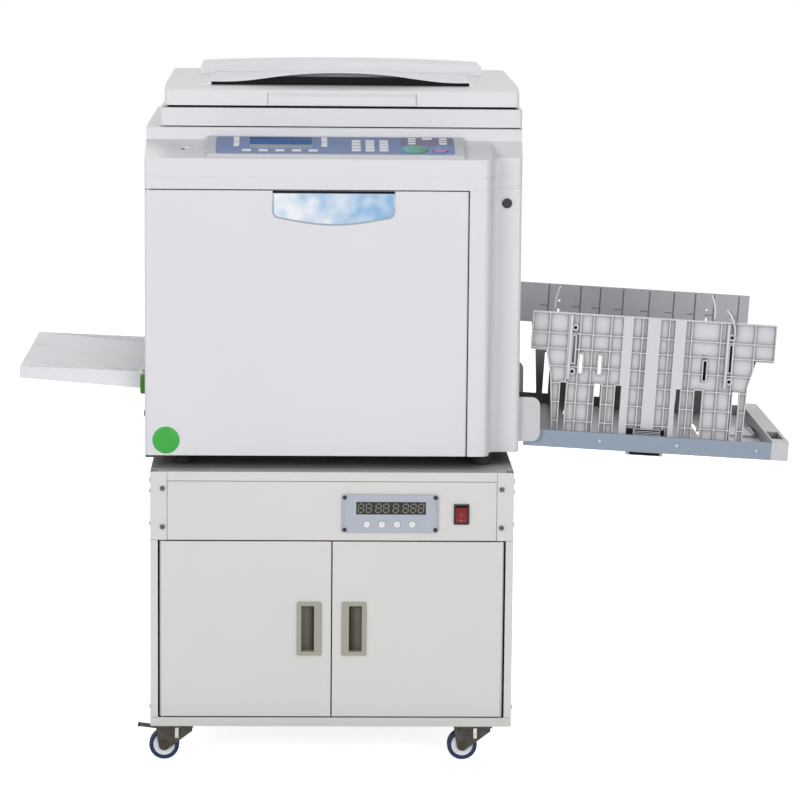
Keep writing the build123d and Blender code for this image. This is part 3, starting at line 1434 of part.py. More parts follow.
# Receiving tray: floor with slide slots, side walls, the end cap and the latch below
with BuildPart(tray_plane) as receiving_tray:
    floor_w = (tray_floor, tray_top)
    wall_front = tray_low + rail_sheet
    block((tray_start, tray_length), (wall_front, tray_high), floor_w)
    wall_w = (rail_sheet, rail_face - rail_sheet)
    block((tray_start, tray_length), (wall_front, wall_front + skin), wall_w)
    block((tray_start, tray_length), (tray_high - skin, tray_high), (0, rail_face))
    for rib_y in (0.2, 0.4, 0.6, 0.8):
        place = around(tray_low + rib_y * tray_depth, skin)
        block((tray_start, tray_length), place, (rail_sheet, tray_floor))
    for slot_u in slide_slots:
        slot_y_span = (fence_y - 2 * skin, 2 * paper_centre - fence_y + 2 * skin)
        block(around(slot_u, slide_slot_width), slot_y_span, (0, tray_top), mode=Mode.SUBTRACT)
    cap_u = (tray_length, tray_length + cap_length)
    block(cap_u, (tray_low, tray_high), (0, cap_height))
    cap_hollow = (cap_u[0] + skin, cap_u[1] - skin)
    block(cap_hollow, (tray_low + skin, tray_high - skin), (0, cap_height - skin), mode=Mode.SUBTRACT)
    pocket_y = (tray_low + cap_margin, tray_low + cap_margin + cap_pocket)
    block((cap_u[0], cap_u[1] - skin), (pocket_y[0] - skin, pocket_y[1] + skin), (tray_floor, cap_height))
    block((cap_u[0] + skin, cap_u[1] - 2 * skin), pocket_y, (tray_top, cap_height), mode=Mode.SUBTRACT)
    latch_y = (tray_low + rail_flange + skin, tray_low + 4 * rail_flange)
    block(latch_u, latch_y, (-latch_drop, rail_sheet))
    for latch_rib in (0, 1):
        rib_y_span = around(latch_y[latch_rib] + (skin / 2) * (1 - 2 * latch_rib), skin)
        block((latch_u[0], latch_u[1]), rib_y_span, (rail_sheet, tray_floor))
    for stop_end in (-1, 1):
        ear_y = sorted(
            (
                paper_centre + stop_end * (stop_width / 2 + 0.5),
                paper_centre + stop_end * (stop_width / 2 + skin + 0.5),
            )
        )
        block(around(stop_u, 2 * stop_barrel), ear_y, (tray_top, tray_top + 3 * stop_barrel))
        rod("y", (stop_u, tray_top + 1.5 * stop_barrel), ear_y, stop_pin + running_fit, mode=Mode.SUBTRACT)
    pin_y = (wall_front, wall_front + skin)
    rod("y", (tray_pin_u, tray_pin_w), pin_y, tray_pin_radius + running_fit, mode=Mode.SUBTRACT)
    pin_y = (tray_high - skin, tray_high)
    rod("y", (tray_pin_u, tray_pin_w), pin_y, tray_pin_radius + running_fit, mode=Mode.SUBTRACT)
save(receiving_tray, "receiving_tray")

# Front rail of the receiving tray, a folded channel with three screw heads
with BuildPart(tray_plane) as receiving_rail:
    block((tray_start, tray_length), (tray_low, tray_low + rail_sheet), (0, rail_face))
    block((tray_start, tray_length), (tray_low, tray_low + rail_flange), (rail_face - rail_sheet, rail_face))
    block((tray_start, tray_length), (tray_low, tray_low + rail_flange), (0, rail_sheet))
    for screw_u in (0.31, 0.62, 0.94):
        head_y = (tray_low - screw_head, tray_low)
        rod("y", (screw_u * tray_length, rail_face / 2), head_y, 0.75 * screw_radius)
    pin_y = (tray_low, tray_low + rail_sheet)
    rod("y", (tray_pin_u, tray_pin_w), pin_y, tray_pin_radius + running_fit, mode=Mode.SUBTRACT)
save(receiving_rail, "receiving_rail")

# Hinge brackets on the right side cover that carry the receiving tray's pins
with BuildPart() as tray_brackets:
    pin_x = tray_x + tray_pin_u * tray_cos + tray_pin_w * tray_sin
    pin_z = tray_z - tray_pin_u * tray_sin + tray_pin_w * tray_cos
    near = (tray_low - panel_gap - hinge_cover_thickness, tray_low - panel_gap)
    far = (tray_high + panel_gap, tray_high + panel_gap + hinge_cover_thickness)
    for bracket_y in (near, far):
        block((body_right, body_right + hinge_cover_width), bracket_y, (hinge_cover_low, hinge_cover_high))
    fillet(tray_brackets.edges().filter_by(Axis.Y).group_by(Axis.X)[-1], hinge_cover_round)
    rod("y", (pin_x, pin_z), (near[1], tray_low + rail_sheet + skin), tray_pin_radius)
    rod("y", (pin_x, pin_z), (tray_high - skin, far[0]), tray_pin_radius)
save(tray_brackets, "tray_brackets")


def fence_outline(inset):
    """The outline of a side fence: wings at the top, tapered sides and straight legs."""
    left = [place + inset for place in fence_left]
    right = [place - inset for place in fence_right]
    Polyline(
        (left[0], fence_top - inset),
        (left[0], fence_wing + inset),
        (left[1], fence_wing + inset),
        (left[2], fence_waist),
        (left[3], 3 * fence_foot),
        (left[3], fence_foot),
        (right[3], fence_foot),
        (right[3], 3 * fence_foot),
        (right[2], fence_waist),
        (right[1], fence_wing + inset),
        (right[0], fence_wing + inset),
        (right[0], fence_top - inset),
        close=True,
    )


# Front side fence: a skin with a rim, a grid of ribs, raised bands, bosses, slits and slide feet
fence_middle_w = (fence_top + fence_foot) / 2
leg_middle_w = (fence_foot + leg_gap_top) / 2
with BuildPart() as fence_front:
    with BuildSketch(fence_plane):
        with BuildLine():
            fence_outline(0)
        make_face()
    extrude(amount=fence_skin)
    with BuildSketch(fence_plane.offset(fence_skin)):
        for height in rib_heights:
            with Locations(((fence_left[0] + fence_right[0]) / 2, height)):
                Rectangle(fence_right[0] - fence_left[0], rib_width)
        for place in rib_places:
            with Locations((place, fence_middle_w)):
                Rectangle(rib_width, fence_top - fence_foot)
        for centre, width in zip(band_centres, band_widths):
            with Locations((centre, fence_middle_w)):
                Rectangle(width, fence_top - fence_foot)
        for centre, width in zip(leg_gap_centres, leg_gap_widths):
            with Locations((centre, leg_middle_w)):
                Rectangle(width + 2 * rib_width, leg_gap_top - fence_foot + 2 * rib_width)
        with Locations(*[(place, slit_z) for place in slit_places]):
            SlotOverall(slit_length + 2 * rib_width, slit_width + 2 * rib_width, rotation=90)
        with Locations(*[(place, guide_z) for place in guide_places]):
            Rectangle(guide_width + 2 * rib_width, guide_length + 2 * rib_width)
        with Locations(*boss_places):
            Circle(boss_radius)
        with BuildLine():
            fence_outline(0)
        make_face(mode=Mode.INTERSECT)
    extrude(amount=fence_rib)
    with BuildSketch(fence_plane.offset(fence_skin)):
        with BuildLine():
            fence_outline(0)
        make_face()
        with BuildLine():
            fence_outline(rib_width)
        make_face(mode=Mode.SUBTRACT)
    extrude(amount=fence_rib)
    with BuildSketch(fence_plane):
        for centre, width in zip(leg_gap_centres, leg_gap_widths):
            with Locations((centre, leg_middle_w)):
                Rectangle(width, leg_gap_top - fence_foot)
        with Locations(*[(place, slit_z) for place in slit_places]):
            SlotOverall(slit_length, slit_width, rotation=90)
        with Locations(*[(place, guide_z) for place in guide_places]):
            Rectangle(guide_width, guide_length)
        with Locations(*boss_places):
            Circle(boss_bore)
    extrude(amount=fence_skin + fence_rib, mode=Mode.SUBTRACT)
    with BuildSketch(fence_plane):
        for slot_u in slide_slots:
            with Locations((slot_u, fence_foot - slide_foot_drop / 2)):
                Rectangle(slide_foot_width, slide_foot_drop + 2 * rib_width)
    extrude(amount=fence_skin + fence_rib)
    with BuildSketch(fence_plane):
        with Locations((clip_u, clip_w)):
            Rectangle(clip_width, clip_height)
    extrude(amount=fence_skin + fence_rib + clip_proud)
save(fence_front, "fence_front")

# Rear side fence, the mirror image of the front one, with a higher lip and grooves in its inner face
rear_inner = 2 * paper_centre - fence_inner
rear_plane = Plane(origin=(tray_x, rear_inner, tray_z), x_dir=(tray_cos, 0, -tray_sin), z_dir=(0, -1, 0))
with BuildPart() as fence_rear:
    mirror(fence_front.part, about=Plane.XZ.offset(-paper_centre))
    with BuildSketch(rear_plane):
        with Locations(((fence_left[0] + fence_right[0]) / 2, fence_top + rear_lip / 2)):
            Rectangle(fence_right[0] - fence_left[0], rear_lip)
    extrude(amount=-(fence_skin + fence_rib))
    with BuildSketch(rear_plane):
        with Locations(*[(place, fence_middle_w + rear_lip) for place in groove_places]):
            Rectangle(groove_width, fence_top)
    extrude(amount=-groove_depth, mode=Mode.SUBTRACT)
save(fence_rear, "fence_rear")

# End stop, a flap that lies on the receiving tray and swings up on its pin
with BuildPart(tray_plane) as end_stop:
    stop_pivot = (stop_u, tray_top + 1.5 * stop_barrel)
    stop_y = around(paper_centre, stop_width)
    block((stop_u - stop_length, stop_u), stop_y, (tray_top + seat_gap, tray_top + seat_gap + skin))
    rod("y", stop_pivot, stop_y, stop_barrel)
    rod("y", stop_pivot, around(paper_centre, stop_width + 2 * skin + 1.0), stop_pin)
save(end_stop, "end_stop")
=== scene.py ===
"""A digital duplicator on its wheeled cabinet, dressed, lit and seen from the front.

The frame gives the construction in metres. Each class below dresses one sub-assembly: it gives the frame's
nodes their finishes and models the small pieces that the construction leaves out.
"""

import logging
import math
from collections.abc import Callable, Iterator
from contextlib import contextmanager
from dataclasses import dataclass
from enum import Enum
from functools import partial
from typing import ClassVar

import bpy
from mathutils import Matrix, Vector

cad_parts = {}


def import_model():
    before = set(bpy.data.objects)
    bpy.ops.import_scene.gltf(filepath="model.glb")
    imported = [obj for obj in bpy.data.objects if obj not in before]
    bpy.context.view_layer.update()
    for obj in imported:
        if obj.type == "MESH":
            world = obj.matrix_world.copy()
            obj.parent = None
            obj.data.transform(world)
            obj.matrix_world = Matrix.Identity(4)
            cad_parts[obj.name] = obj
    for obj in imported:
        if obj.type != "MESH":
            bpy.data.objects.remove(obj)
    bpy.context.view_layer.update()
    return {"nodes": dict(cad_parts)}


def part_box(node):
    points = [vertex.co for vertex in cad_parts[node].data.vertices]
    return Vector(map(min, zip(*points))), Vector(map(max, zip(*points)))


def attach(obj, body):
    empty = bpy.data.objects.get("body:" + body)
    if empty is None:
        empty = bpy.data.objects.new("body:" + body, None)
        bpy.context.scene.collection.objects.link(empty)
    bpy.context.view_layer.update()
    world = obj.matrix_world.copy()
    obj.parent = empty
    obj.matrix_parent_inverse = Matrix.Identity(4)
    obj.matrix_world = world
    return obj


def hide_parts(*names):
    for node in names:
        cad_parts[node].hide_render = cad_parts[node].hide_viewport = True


log = logging.getLogger("duplicator")

MM = 0.001
WHITE = (1, 1, 1, 1)
CORNERS = ("front_left", "front_right", "rear_left", "rear_right")

Pair = tuple[float, float]
Point = tuple[float, float, float]
Outline = list[Pair]
Tree = bpy.types.NodeTree
Node = bpy.types.Node
Socket = bpy.types.NodeSocket
Piece = bpy.types.Object


class Side(Enum):
    """The left or the right, as seen from the front, with its direction along X."""

    LEFT = -1
    RIGHT = 1

    @property
    def word(self) -> str:
        """Give the side as the names of nodes, bodies and pieces say it."""
        return self.name.lower()


def mm(*values: float) -> tuple[float, ...]:
    """Turn the millimetres of one place into metres."""
    return tuple(value * MM for value in values)


def linear(code: str, level: float = 1.0) -> tuple[float, float, float, float]:
    """Turn an sRGB hex colour into linear values.

    Args:
        code: The colour, such as "#E0E0E4".
        level: How much lighter or darker it gets, as a share.

    Returns:
        Red, green, blue and an alpha of one.
    """
    parts = [int(code[i : i + 2], 16) / 255 for i in (1, 3, 5)]
    levels = [p / 12.92 if p <= 0.04045 else ((p + 0.055) / 1.055) ** 2.4 for p in parts]
    return (*(min(value * level, 1) for value in levels), 1.0)


def add_node(tree: Tree, kind: str, inputs: dict | None = None, **settings: object) -> Node:
    """Add one shader node with its settings, values and links.

    Args:
        tree: The node tree that takes the node.
        kind: The node's type name.
        inputs: Values for its sockets, or the output sockets that feed them.
        **settings: Properties of the node itself.

    Returns:
        The new node.
    """
    node = tree.nodes.new(kind)
    for name, value in settings.items():
        setattr(node, name, value)
    for name, value in (inputs or {}).items():
        if isinstance(value, Socket):
            tree.links.new(value, node.inputs[name])
        else:
            node.inputs[name].default_value = value
    return node


@dataclass(frozen=True)
class Finish:
    """What every finish has: a name, a colour, a roughness, and how far and how dark the painted shade in its corners
    reaches.
    """

    name: str
    colour: str
    roughness: float = 0.5
    ior: float = 1.5
    painted_shade_mm: float = 0.0
    painted_shade_share: float = 0.22

    def material(self) -> bpy.types.Material:
        """Make the material, unless it is already made.

        Returns:
            The material.
        """
        made = bpy.data.materials.get(self.name)
        if made:
            return made
        made = bpy.data.materials.new(self.name)
        made.use_nodes = True
        tree = made.node_tree
        tree.nodes.clear()
        place = add_node(tree, "ShaderNodeTexCoord").outputs["Object"]
        shader = add_node(tree, "ShaderNodeBsdfPrincipled", {"Roughness": self.roughness, "IOR": self.ior})
        add_node(tree, "ShaderNodeOutputMaterial", {"Surface": shader.outputs["BSDF"]})
        self.dress(tree, place, shader)
        return made

    def dress(self, tree: Tree, place: Socket, shader: Node) -> None:
        """Add what makes this finish its own.

        Args:
            tree: The material's node tree.
            place: The coordinates to read.
            shader: The shader to feed.
        """
        raise NotImplementedError

    def lay(self, tree: Tree, shader: Node, colour: Socket) -> None:
        """Lay the colour on, with painted shade that darkens it in corners and gaps.

        Args:
            tree: The material's node tree.
            shader: The shader to feed.
            colour: The colour of the open surface.
        """
        if self.painted_shade_mm:
            near = add_node(tree, "ShaderNodeAmbientOcclusion", {"Distance": self.painted_shade_mm * MM}, samples=6)
            dark = (self.painted_shade_share, self.painted_shade_share, self.painted_shade_share, 1)
            shares = {"Factor": near.outputs["AO"], 6: dark, 7: WHITE}
            grey = add_node(tree, "ShaderNodeMix", shares, data_type="RGBA")
            layers = {"Factor": 1.0, 6: colour, 7: grey.outputs[2]}
            colour = add_node(tree, "ShaderNodeMix", layers, data_type="RGBA", blend_type="MULTIPLY").outputs[2]
        tree.links.new(colour, shader.inputs["Base Color"])

    def tint(self, tree: Tree, place: Socket, shader: Node, size_mm: float, spread: float) -> None:
        """Lay the colour on, varied a little from place to place.

        Args:
            tree: The material's node tree.
            place: The coordinates to read.
            shader: The shader to feed.
            size_mm: How large the patches are.
            spread: How much lighter or darker they get, as a share.
        """
        pattern = {"Vector": place, "Scale": 1 / (size_mm * MM), "Detail": 2.0, "Roughness": 0.5}
        noise = add_node(tree, "ShaderNodeTexNoise", pattern)
        ramp = add_node(tree, "ShaderNodeValToRGB", {"Fac": noise.outputs["Fac"]})
        dark, pale = ramp.color_ramp.elements
        dark.color, pale.color = linear(self.colour, 1 - spread), linear(self.colour, 1 + spread)
        dark.position, pale.position = 0.3, 0.7
        self.lay(tree, shader, ramp.outputs["Color"])

    def grain(self, tree: Tree, place: Socket, shader: Node, size_mm: float, depth_mm: float) -> None:
        """Raise a fine bump, such as spark texture or orange peel.

        Args:
            tree: The material's node tree.
            place: The coordinates to read.
            shader: The shader to feed.
            size_mm: How far apart the bumps are.
            depth_mm: How deep they are.
        """
        pattern = {"Vector": place, "Scale": 1 / (size_mm * MM), "Detail": 3.0, "Roughness": 0.6}
        noise = add_node(tree, "ShaderNodeTexNoise", pattern)
        relief = {"Height": noise.outputs["Fac"], "Distance": depth_mm * MM, "Strength": 1.0}
        tree.links.new(add_node(tree, "ShaderNodeBump", relief).outputs["Normal"], shader.inputs["Normal"])


@dataclass(frozen=True)
class MouldedPlastic(Finish):
    """ABS, polystyrene or rubber out of a textured mould: an even colour with a soft, finely broken sheen."""

    grain_mm: float = 1.2
    grain_depth_mm: float = 0.012
    patch_mm: float = 180.0
    spread: float = 0.012
    coat: float = 0.0

    def dress(self, tree: Tree, place: Socket, shader: Node) -> None:
        """Add the mottled colour, the mould's texture and any gloss.

        Args:
            tree: The material's node tree.
            place: The coordinates to read.
            shader: The shader to feed.
        """
        self.tint(tree, place, shader, self.patch_mm, self.spread)
        self.grain(tree, place, shader, self.grain_mm, self.grain_depth_mm)
        shader.inputs["Coat Weight"].default_value = self.coat
        shader.inputs["Coat Roughness"].default_value = 0.15


@dataclass(frozen=True)
class PowderCoat(Finish):
    """Polyester powder baked on sheet steel: satin, with orange peel a few millimetres across."""

    peel_mm: float = 3.5
    peel_depth_mm: float = 0.02
    patch_mm: float = 220.0
    spread: float = 0.015
    clouds_per_metre: float = 14.0

    def dress(self, tree: Tree, place: Socket, shader: Node) -> None:
        """Add the even colour, a broken gloss and the orange peel.

        Args:
            tree: The material's node tree.
            place: The coordinates to read.
            shader: The shader to feed.
        """
        self.tint(tree, place, shader, self.patch_mm, self.spread)
        pattern = {"Vector": place, "Scale": self.clouds_per_metre, "Detail": 3.0}
        cloud = add_node(tree, "ShaderNodeTexNoise", pattern).outputs["Fac"]
        span = {"From Min": 0.3, "From Max": 0.7, "To Min": self.roughness - 0.05, "To Max": self.roughness + 0.07}
        gloss = add_node(tree, "ShaderNodeMapRange", {"Value": cloud, **span})
        tree.links.new(gloss.outputs["Result"], shader.inputs["Roughness"])
        self.grain(tree, place, shader, self.peel_mm, self.peel_depth_mm)


@dataclass(frozen=True)
class PlatedSteel(Finish):
    """Pressed steel with a dull zinc plating: cloudy, with grey patches and fine scratches."""

    patch_mm: float = 9.0
    spread: float = 0.22
    scratches_per_metre: Point = (60.0, 900.0, 900.0)

    def dress(self, tree: Tree, place: Socket, shader: Node) -> None:
        """Add the metal, its cloudy patches and the scratches.

        Args:
            tree: The material's node tree.
            place: The coordinates to read.
            shader: The shader to feed.
        """
        shader.inputs["Metallic"].default_value = 1.0
        self.tint(tree, place, shader, self.patch_mm, self.spread)
        stretch = add_node(tree, "ShaderNodeMapping", {"Vector": place, "Scale": self.scratches_per_metre})
        pattern = {"Vector": stretch.outputs["Vector"], "Scale": 1.0, "Detail": 2.0}
        scratch = add_node(tree, "ShaderNodeTexNoise", pattern).outputs["Fac"]
        span = {"To Min": self.roughness - 0.12, "To Max": self.roughness + 0.16}
        gloss = add_node(tree, "ShaderNodeMapRange", {"Value": scratch, **span})
        tree.links.new(gloss.outputs["Result"], shader.inputs["Roughness"])


@dataclass(frozen=True)
class ClearPlastic(Finish):
    """Milky moulded polystyrene: light comes through it a little, and its face is glossy."""

    see_through: float = 0.35
    patch_mm: float = 60.0
    flow_mm: float = 12.0

    def dress(self, tree: Tree, place: Socket, shader: Node) -> None:
        """Add the tint, the light that comes through and faint flow marks.

        Args:
            tree: The material's node tree.
            place: The coordinates to read.
            shader: The shader to feed.
        """
        self.tint(tree, place, shader, self.patch_mm, 0.04)
        self.grain(tree, place, shader, self.flow_mm, 0.03)
        shader.inputs["Transmission Weight"].default_value = self.see_through


@dataclass(frozen=True)
class FloatGlass(Finish):
    """Float glass with a faint green cast."""

    def dress(self, tree: Tree, place: Socket, shader: Node) -> None:
        """Add the cast and let the light through."""
        self.tint(tree, place, shader, 300.0, 0.01)
        shader.inputs["Transmission Weight"].default_value = 0.9


@dataclass(frozen=True)
class GradedPlastic(Finish):
    """A printed film, or a moulding with painted shade that deepens across it: its colour runs from one point to
    another.
    """

    far_colour: str = "#FFFFFF"
    low: Point = (0.0, 0.0, 0.0)
    high: Point = (0.0, 0.0, 1.0)
    wave: float = 0.0
    cloud_mm: float = 30.0
    coat: float = 0.0

    def dress(self, tree: Tree, place: Socket, shader: Node) -> None:
        """Run the colour from the low point to the high one, with an optional soft wave, under any coat.

        Args:
            tree: The material's node tree.
            place: The coordinates to read.
            shader: The shader to feed.
        """
        span = Vector(self.high) - Vector(self.low)
        turn = Vector((1, 0, 0)).rotation_difference(span.normalized()).inverted().to_euler()
        start = add_node(tree, "ShaderNodeVectorMath", {0: place, 1: self.low}, operation="SUBTRACT")
        lie = {"Vector": start.outputs["Vector"], "Rotation": tuple(turn), "Scale": (1 / span.length,) * 3}
        along = add_node(tree, "ShaderNodeMapping", lie)
        pattern = {"Vector": place, "Scale": 1 / (self.cloud_mm * MM), "Detail": 1.5}
        noise = add_node(tree, "ShaderNodeTexNoise", pattern)
        swing = {0: noise.outputs["Fac"], 1: self.wave, 2: -self.wave / 2}
        shift = add_node(tree, "ShaderNodeMath", swing, operation="MULTIPLY_ADD")
        axis = add_node(tree, "ShaderNodeSeparateXYZ", {"Vector": along.outputs["Vector"]})
        where = add_node(tree, "ShaderNodeMath", {0: axis.outputs["X"], 1: shift.outputs[0]}, operation="ADD")
        ramp = add_node(tree, "ShaderNodeValToRGB", {"Fac": where.outputs[0]})
        ramp.color_ramp.elements[0].color = linear(self.colour)
        ramp.color_ramp.elements[1].color = linear(self.far_colour)
        self.lay(tree, shader, ramp.outputs["Color"])
        shader.inputs["Coat Weight"].default_value = self.coat
        shader.inputs["Coat Roughness"].default_value = 0.08


@dataclass(frozen=True)
class WovenScreen(Finish):
    """Polyester gauze stretched round the drum: a fine square weave, drawn coarser so that it shows."""

    thread_mm: float = 1.6
    thread_depth_mm: float = 0.05

    def dress(self, tree: Tree, place: Socket, shader: Node) -> None:
        """Cross two bands of thread and let them lighten the colour and raise the surface.

        Args:
            tree: The material's node tree.
            place: The coordinates to read.
            shader: The shader to feed.
        """
        pattern = {"Vector": place, "Scale": 1 / (self.thread_mm * MM * 2 * math.pi)}
        bands = [add_node(tree, "ShaderNodeTexWave", pattern, bands_direction=way).outputs["Fac"] for way in "XY"]
        weave = add_node(tree, "ShaderNodeMath", {0: bands[0], 1: bands[1]}, operation="MAXIMUM").outputs[0]
        ramp = add_node(tree, "ShaderNodeValToRGB", {"Fac": weave})
        ramp.color_ramp.elements[0].color = linear(self.colour, 0.5)
        ramp.color_ramp.elements[1].color = linear(self.colour)
        bump = add_node(tree, "ShaderNodeBump", {"Height": weave, "Distance": self.thread_depth_mm * MM})
        tree.links.new(ramp.outputs["Color"], shader.inputs["Base Color"])
        tree.links.new(bump.outputs["Normal"], shader.inputs["Normal"])


# Small glossy mouldings and films come out of a polished mould, so their bump is long and very shallow
polished = partial(MouldedPlastic, grain_mm=2.0, grain_depth_mm=0.004)
# Embossed film and satin keys: a fine, shallow bump that only breaks the highlights
embossed = partial(MouldedPlastic, grain_depth_mm=0.006)

# Shells of the duplicator: ABS out of a spark-textured mould, which gives a cool off-white with a soft sheen
SHELL = MouldedPlastic("shell_abs", "#E0E0E4", roughness=0.42, grain_mm=1.1)
LID = MouldedPlastic("lid_abs", "#E3E3E7", roughness=0.4, grain_mm=1.1)
# The shelf pod and the tray's brackets: the same ABS in a light grey, a little duller
POD = MouldedPlastic("pod_abs", "#C9CACD", roughness=0.45, grain_mm=1.0)
# Fences and end stop: moulded polystyrene, a shade greyer and a little glossier, so the ribs catch the light, with
# painted shade in their corners and gaps
TRAY = MouldedPlastic("tray_polystyrene", "#D6D5DA", roughness=0.34, grain_mm=2.0, painted_shade_mm=14.0)
# The tray's deck: the same polystyrene with painted shade, darker toward the machine, where it lies in the body's
# shade, and in its corners
DECK = GradedPlastic(
    "deck_polystyrene",
    "#76726F",
    roughness=0.36,
    painted_shade_mm=120.0,
    painted_shade_share=0.3,
    far_colour="#C9C8CC",
    low=(0.335, 0.0, 0.52),
    high=(0.43, 0.0, 0.52),
)
# The rear fence: the same polystyrene with painted shade, brownish and dark at its foot, where the deck and the front
# fence shade it
REAR_FENCE = GradedPlastic(
    "rear_fence_polystyrene",
    "#4A4643",
    roughness=0.4,
    far_colour="#B3B2B8",
    low=(0.6, 0.24, 0.575),
    high=(0.6, 0.24, 0.665),
)
# Feed tray: moulded translucent polystyrene, milky, so light from behind softens its edges
FEED = ClearPlastic("feed_tray_polystyrene", "#EEEFF3", roughness=0.3, ior=1.55, see_through=0.12)
# Cabinet: steel sheet with a warm light grey powder coat, baked, which leaves a fine orange peel, with painted shade
# in its corners and under the body that stands on it
CABINET = PowderCoat("cabinet_powder_coat", "#DBDAD8", roughness=0.4, painted_shade_mm=110.0)
# Side rail of the tray: steel strip in a blue-grey paint, satin, with a finer peel
RAIL = PowderCoat("rail_blue_grey_paint", "#8F9DAE", roughness=0.35, peel_mm=2.5)
# Casters and screws: zinc-plated pressings that have gone dull, brownish grey with cloudy patches
ZINC = PlatedSteel("zinc_plated_pressing", "#4C4944", roughness=0.52)
NUT_ZINC = PlatedSteel("axle_nut_zinc", "#4A4438", patch_mm=2.0)
BRIGHT_ZINC = PlatedSteel("caster_rib_zinc", "#C9C6BE", roughness=0.45, patch_mm=4.0)
SCREW = PlatedSteel("zinc_plated_screw", "#5C5B58", roughness=0.45, patch_mm=3.0)
RAIL_SCREW = PlatedSteel("rail_screw_zinc", "#93A5B8", roughness=0.4, patch_mm=3.0)
# Base frame: steel in a dull near-black paint, partly its own colour and partly painted shade, so the gap over the
# cabinet stays dark
UNDERSIDE = PowderCoat("base_black_paint", "#2B2B2C", roughness=0.55)
# Inner plates: galvanised sheet steel, whose large crystals make pale and dark patches
CHASSIS = PlatedSteel("galvanised_sheet", "#A6AAAE", roughness=0.4, patch_mm=25.0)
# Wheels: a cast polyurethane tyre, satin and deep navy, on a moulded nylon core
TYRE = MouldedPlastic("tyre_polyurethane", "#04204A", roughness=0.6, grain_mm=2.0, grain_depth_mm=0.01)
WHEEL_CORE = MouldedPlastic("wheel_core_nylon", "#E6E8EC", roughness=0.4, grain_mm=1.5)
# Feet and rollers: moulded rubber, dark and matt
FOOT = MouldedPlastic("moulded_foot_rubber", "#26272A", roughness=0.8, grain_mm=0.8, grain_depth_mm=0.03)
ROLLER = MouldedPlastic("moulded_roller_rubber", "#2C2D30", roughness=0.7, grain_mm=0.6, grain_depth_mm=0.02)
# Bezel, inlet and cap screws: black ABS and black oxide, satin, nearly without highlights
BLACK = MouldedPlastic("black_abs", "#0D0E10", grain_mm=0.9)
# Buttons and keys: moulded ABS, black or white, and glossier where fingers press
DARK_BUTTON = polished("dark_button_abs", "#14151C", roughness=0.35)
WHITE_KEY = embossed("white_key_abs", "#EDEEF0", roughness=0.35, grain_mm=0.8)
DIMPLE = embossed("dimple_grey_abs", "#C9CBD3", roughness=0.4, grain_mm=0.8)
# Start key: printed film under a gloss coat, which runs from blue-green to green
START_FILM = GradedPlastic(
    "start_key_film",
    "#4FA9A6",
    roughness=0.25,
    far_colour="#2B8F50",
    low=(0.118, -0.216, 1.012),
    high=(0.15, -0.216, 1.012),
    coat=0.6,
)
# Stop key: two colours of printed film under a gloss coat
STOP_BLUE = polished("stop_key_blue", "#5E83BD", roughness=0.25, coat=0.5)
MAGENTA = polished("stop_key_magenta", "#BE6F9C", roughness=0.25, coat=0.5)
# Knob and pulls: moulded ABS, a clear green and a warm beige, satin
KNOB = MouldedPlastic("knob_green_abs", "#3E7F16", roughness=0.35)
PULL = MouldedPlastic("pull_beige_abs", "#A5A296", roughness=0.4, grain_mm=1.0)
# Counter: printed polycarbonate sheet, blue-grey, with a black glossy window in front of its digits
COUNTER = MouldedPlastic("counter_printed_sheet", "#B4BAC6", roughness=0.3, grain_mm=4.0, grain_depth_mm=0.01)
DISPLAY = MouldedPlastic("display_window_sheet", "#060607", roughness=0.2, grain_mm=6.0, grain_depth_mm=0.002)
SEGMENT = MouldedPlastic("segment_unlit", "#8E8A7D", roughness=0.4, grain_mm=1.0)
# Rocker: moulded red polycarbonate, deep in colour and satin, with a pale pressed-in mark
ROCKER = MouldedPlastic("rocker_polycarbonate", "#78060B", grain_mm=3.0, grain_depth_mm=0.004)
ROCKER_MARK = MouldedPlastic("rocker_mark", "#B06A66", roughness=0.3, grain_mm=1.0)
# Panel overlay: screen-printed polyester film with a finely embossed face
OVERLAY = embossed("overlay_blue_film", "#7388B4", roughness=0.34, grain_mm=0.7)
MODE_FIELD = embossed("overlay_violet_film", "#77748F", roughness=0.34, grain_mm=0.7)
LCD_RIM = polished("lcd_rim", "#97A3AE", roughness=0.25)
# Badge and disc: polished ABS with a thin gloss, and a plain green film
BADGE_RIM = polished("badge_rim_abs", "#9FABBB", roughness=0.25, coat=0.3)
GREEN_DISC = polished("green_film", "#33A93A", roughness=0.3)
# Platen: float glass with a faint green cast, under a pad covered with white film
PANEL_GLASS = FloatGlass("platen_float_glass", "#DCE8E4", roughness=0.02, ior=1.52)
PAD = MouldedPlastic("pad_white_film", "#F2F2F0", grain_mm=3.0)
# Drum: polyester gauze over a steel frame with blue moulded flanges
SCREEN = WovenScreen("drum_gauze", "#4A4F57", roughness=0.6)
DRUM_BLUE = MouldedPlastic("drum_frame_blue", "#4A6C9C", roughness=0.4)
# Joint lines between mouldings: the same grey in shade
SEAM = MouldedPlastic("seam_shade", "#77777C", roughness=0.6, grain_mm=1.0)
# Painted shade in slots, gaps and recesses: near-black and matt, which sends back almost no light; the fence's dark
# screw heads take it too
SLOT_DARK = MouldedPlastic("slot_dark_foam", "#17171A", roughness=0.7, ior=1.2, grain_mm=1.0)

Looks = dict[Finish, tuple[str, ...]]


def choose_none() -> None:
    """Leave object mode's selection empty."""
    if bpy.context.object and bpy.context.object.mode != "OBJECT":
        bpy.ops.object.mode_set(mode="OBJECT")
    bpy.ops.object.select_all(action="DESELECT")


def choose(piece: Piece) -> None:
    """Select one piece alone and make it active.

    Args:
        piece: The piece.
    """
    choose_none()
    piece.select_set(True)
    bpy.context.view_layer.objects.active = piece


def new_piece(name: str) -> Piece:
    """Name the piece that an operator has just made and fix its place in its mesh.

    Args:
        name: The piece's name.

    Returns:
        The piece, alone in the selection.
    """
    piece = bpy.context.object
    piece.name = piece.data.name = name
    choose(piece)
    bpy.ops.object.transform_apply(location=True, rotation=True, scale=True)
    return piece


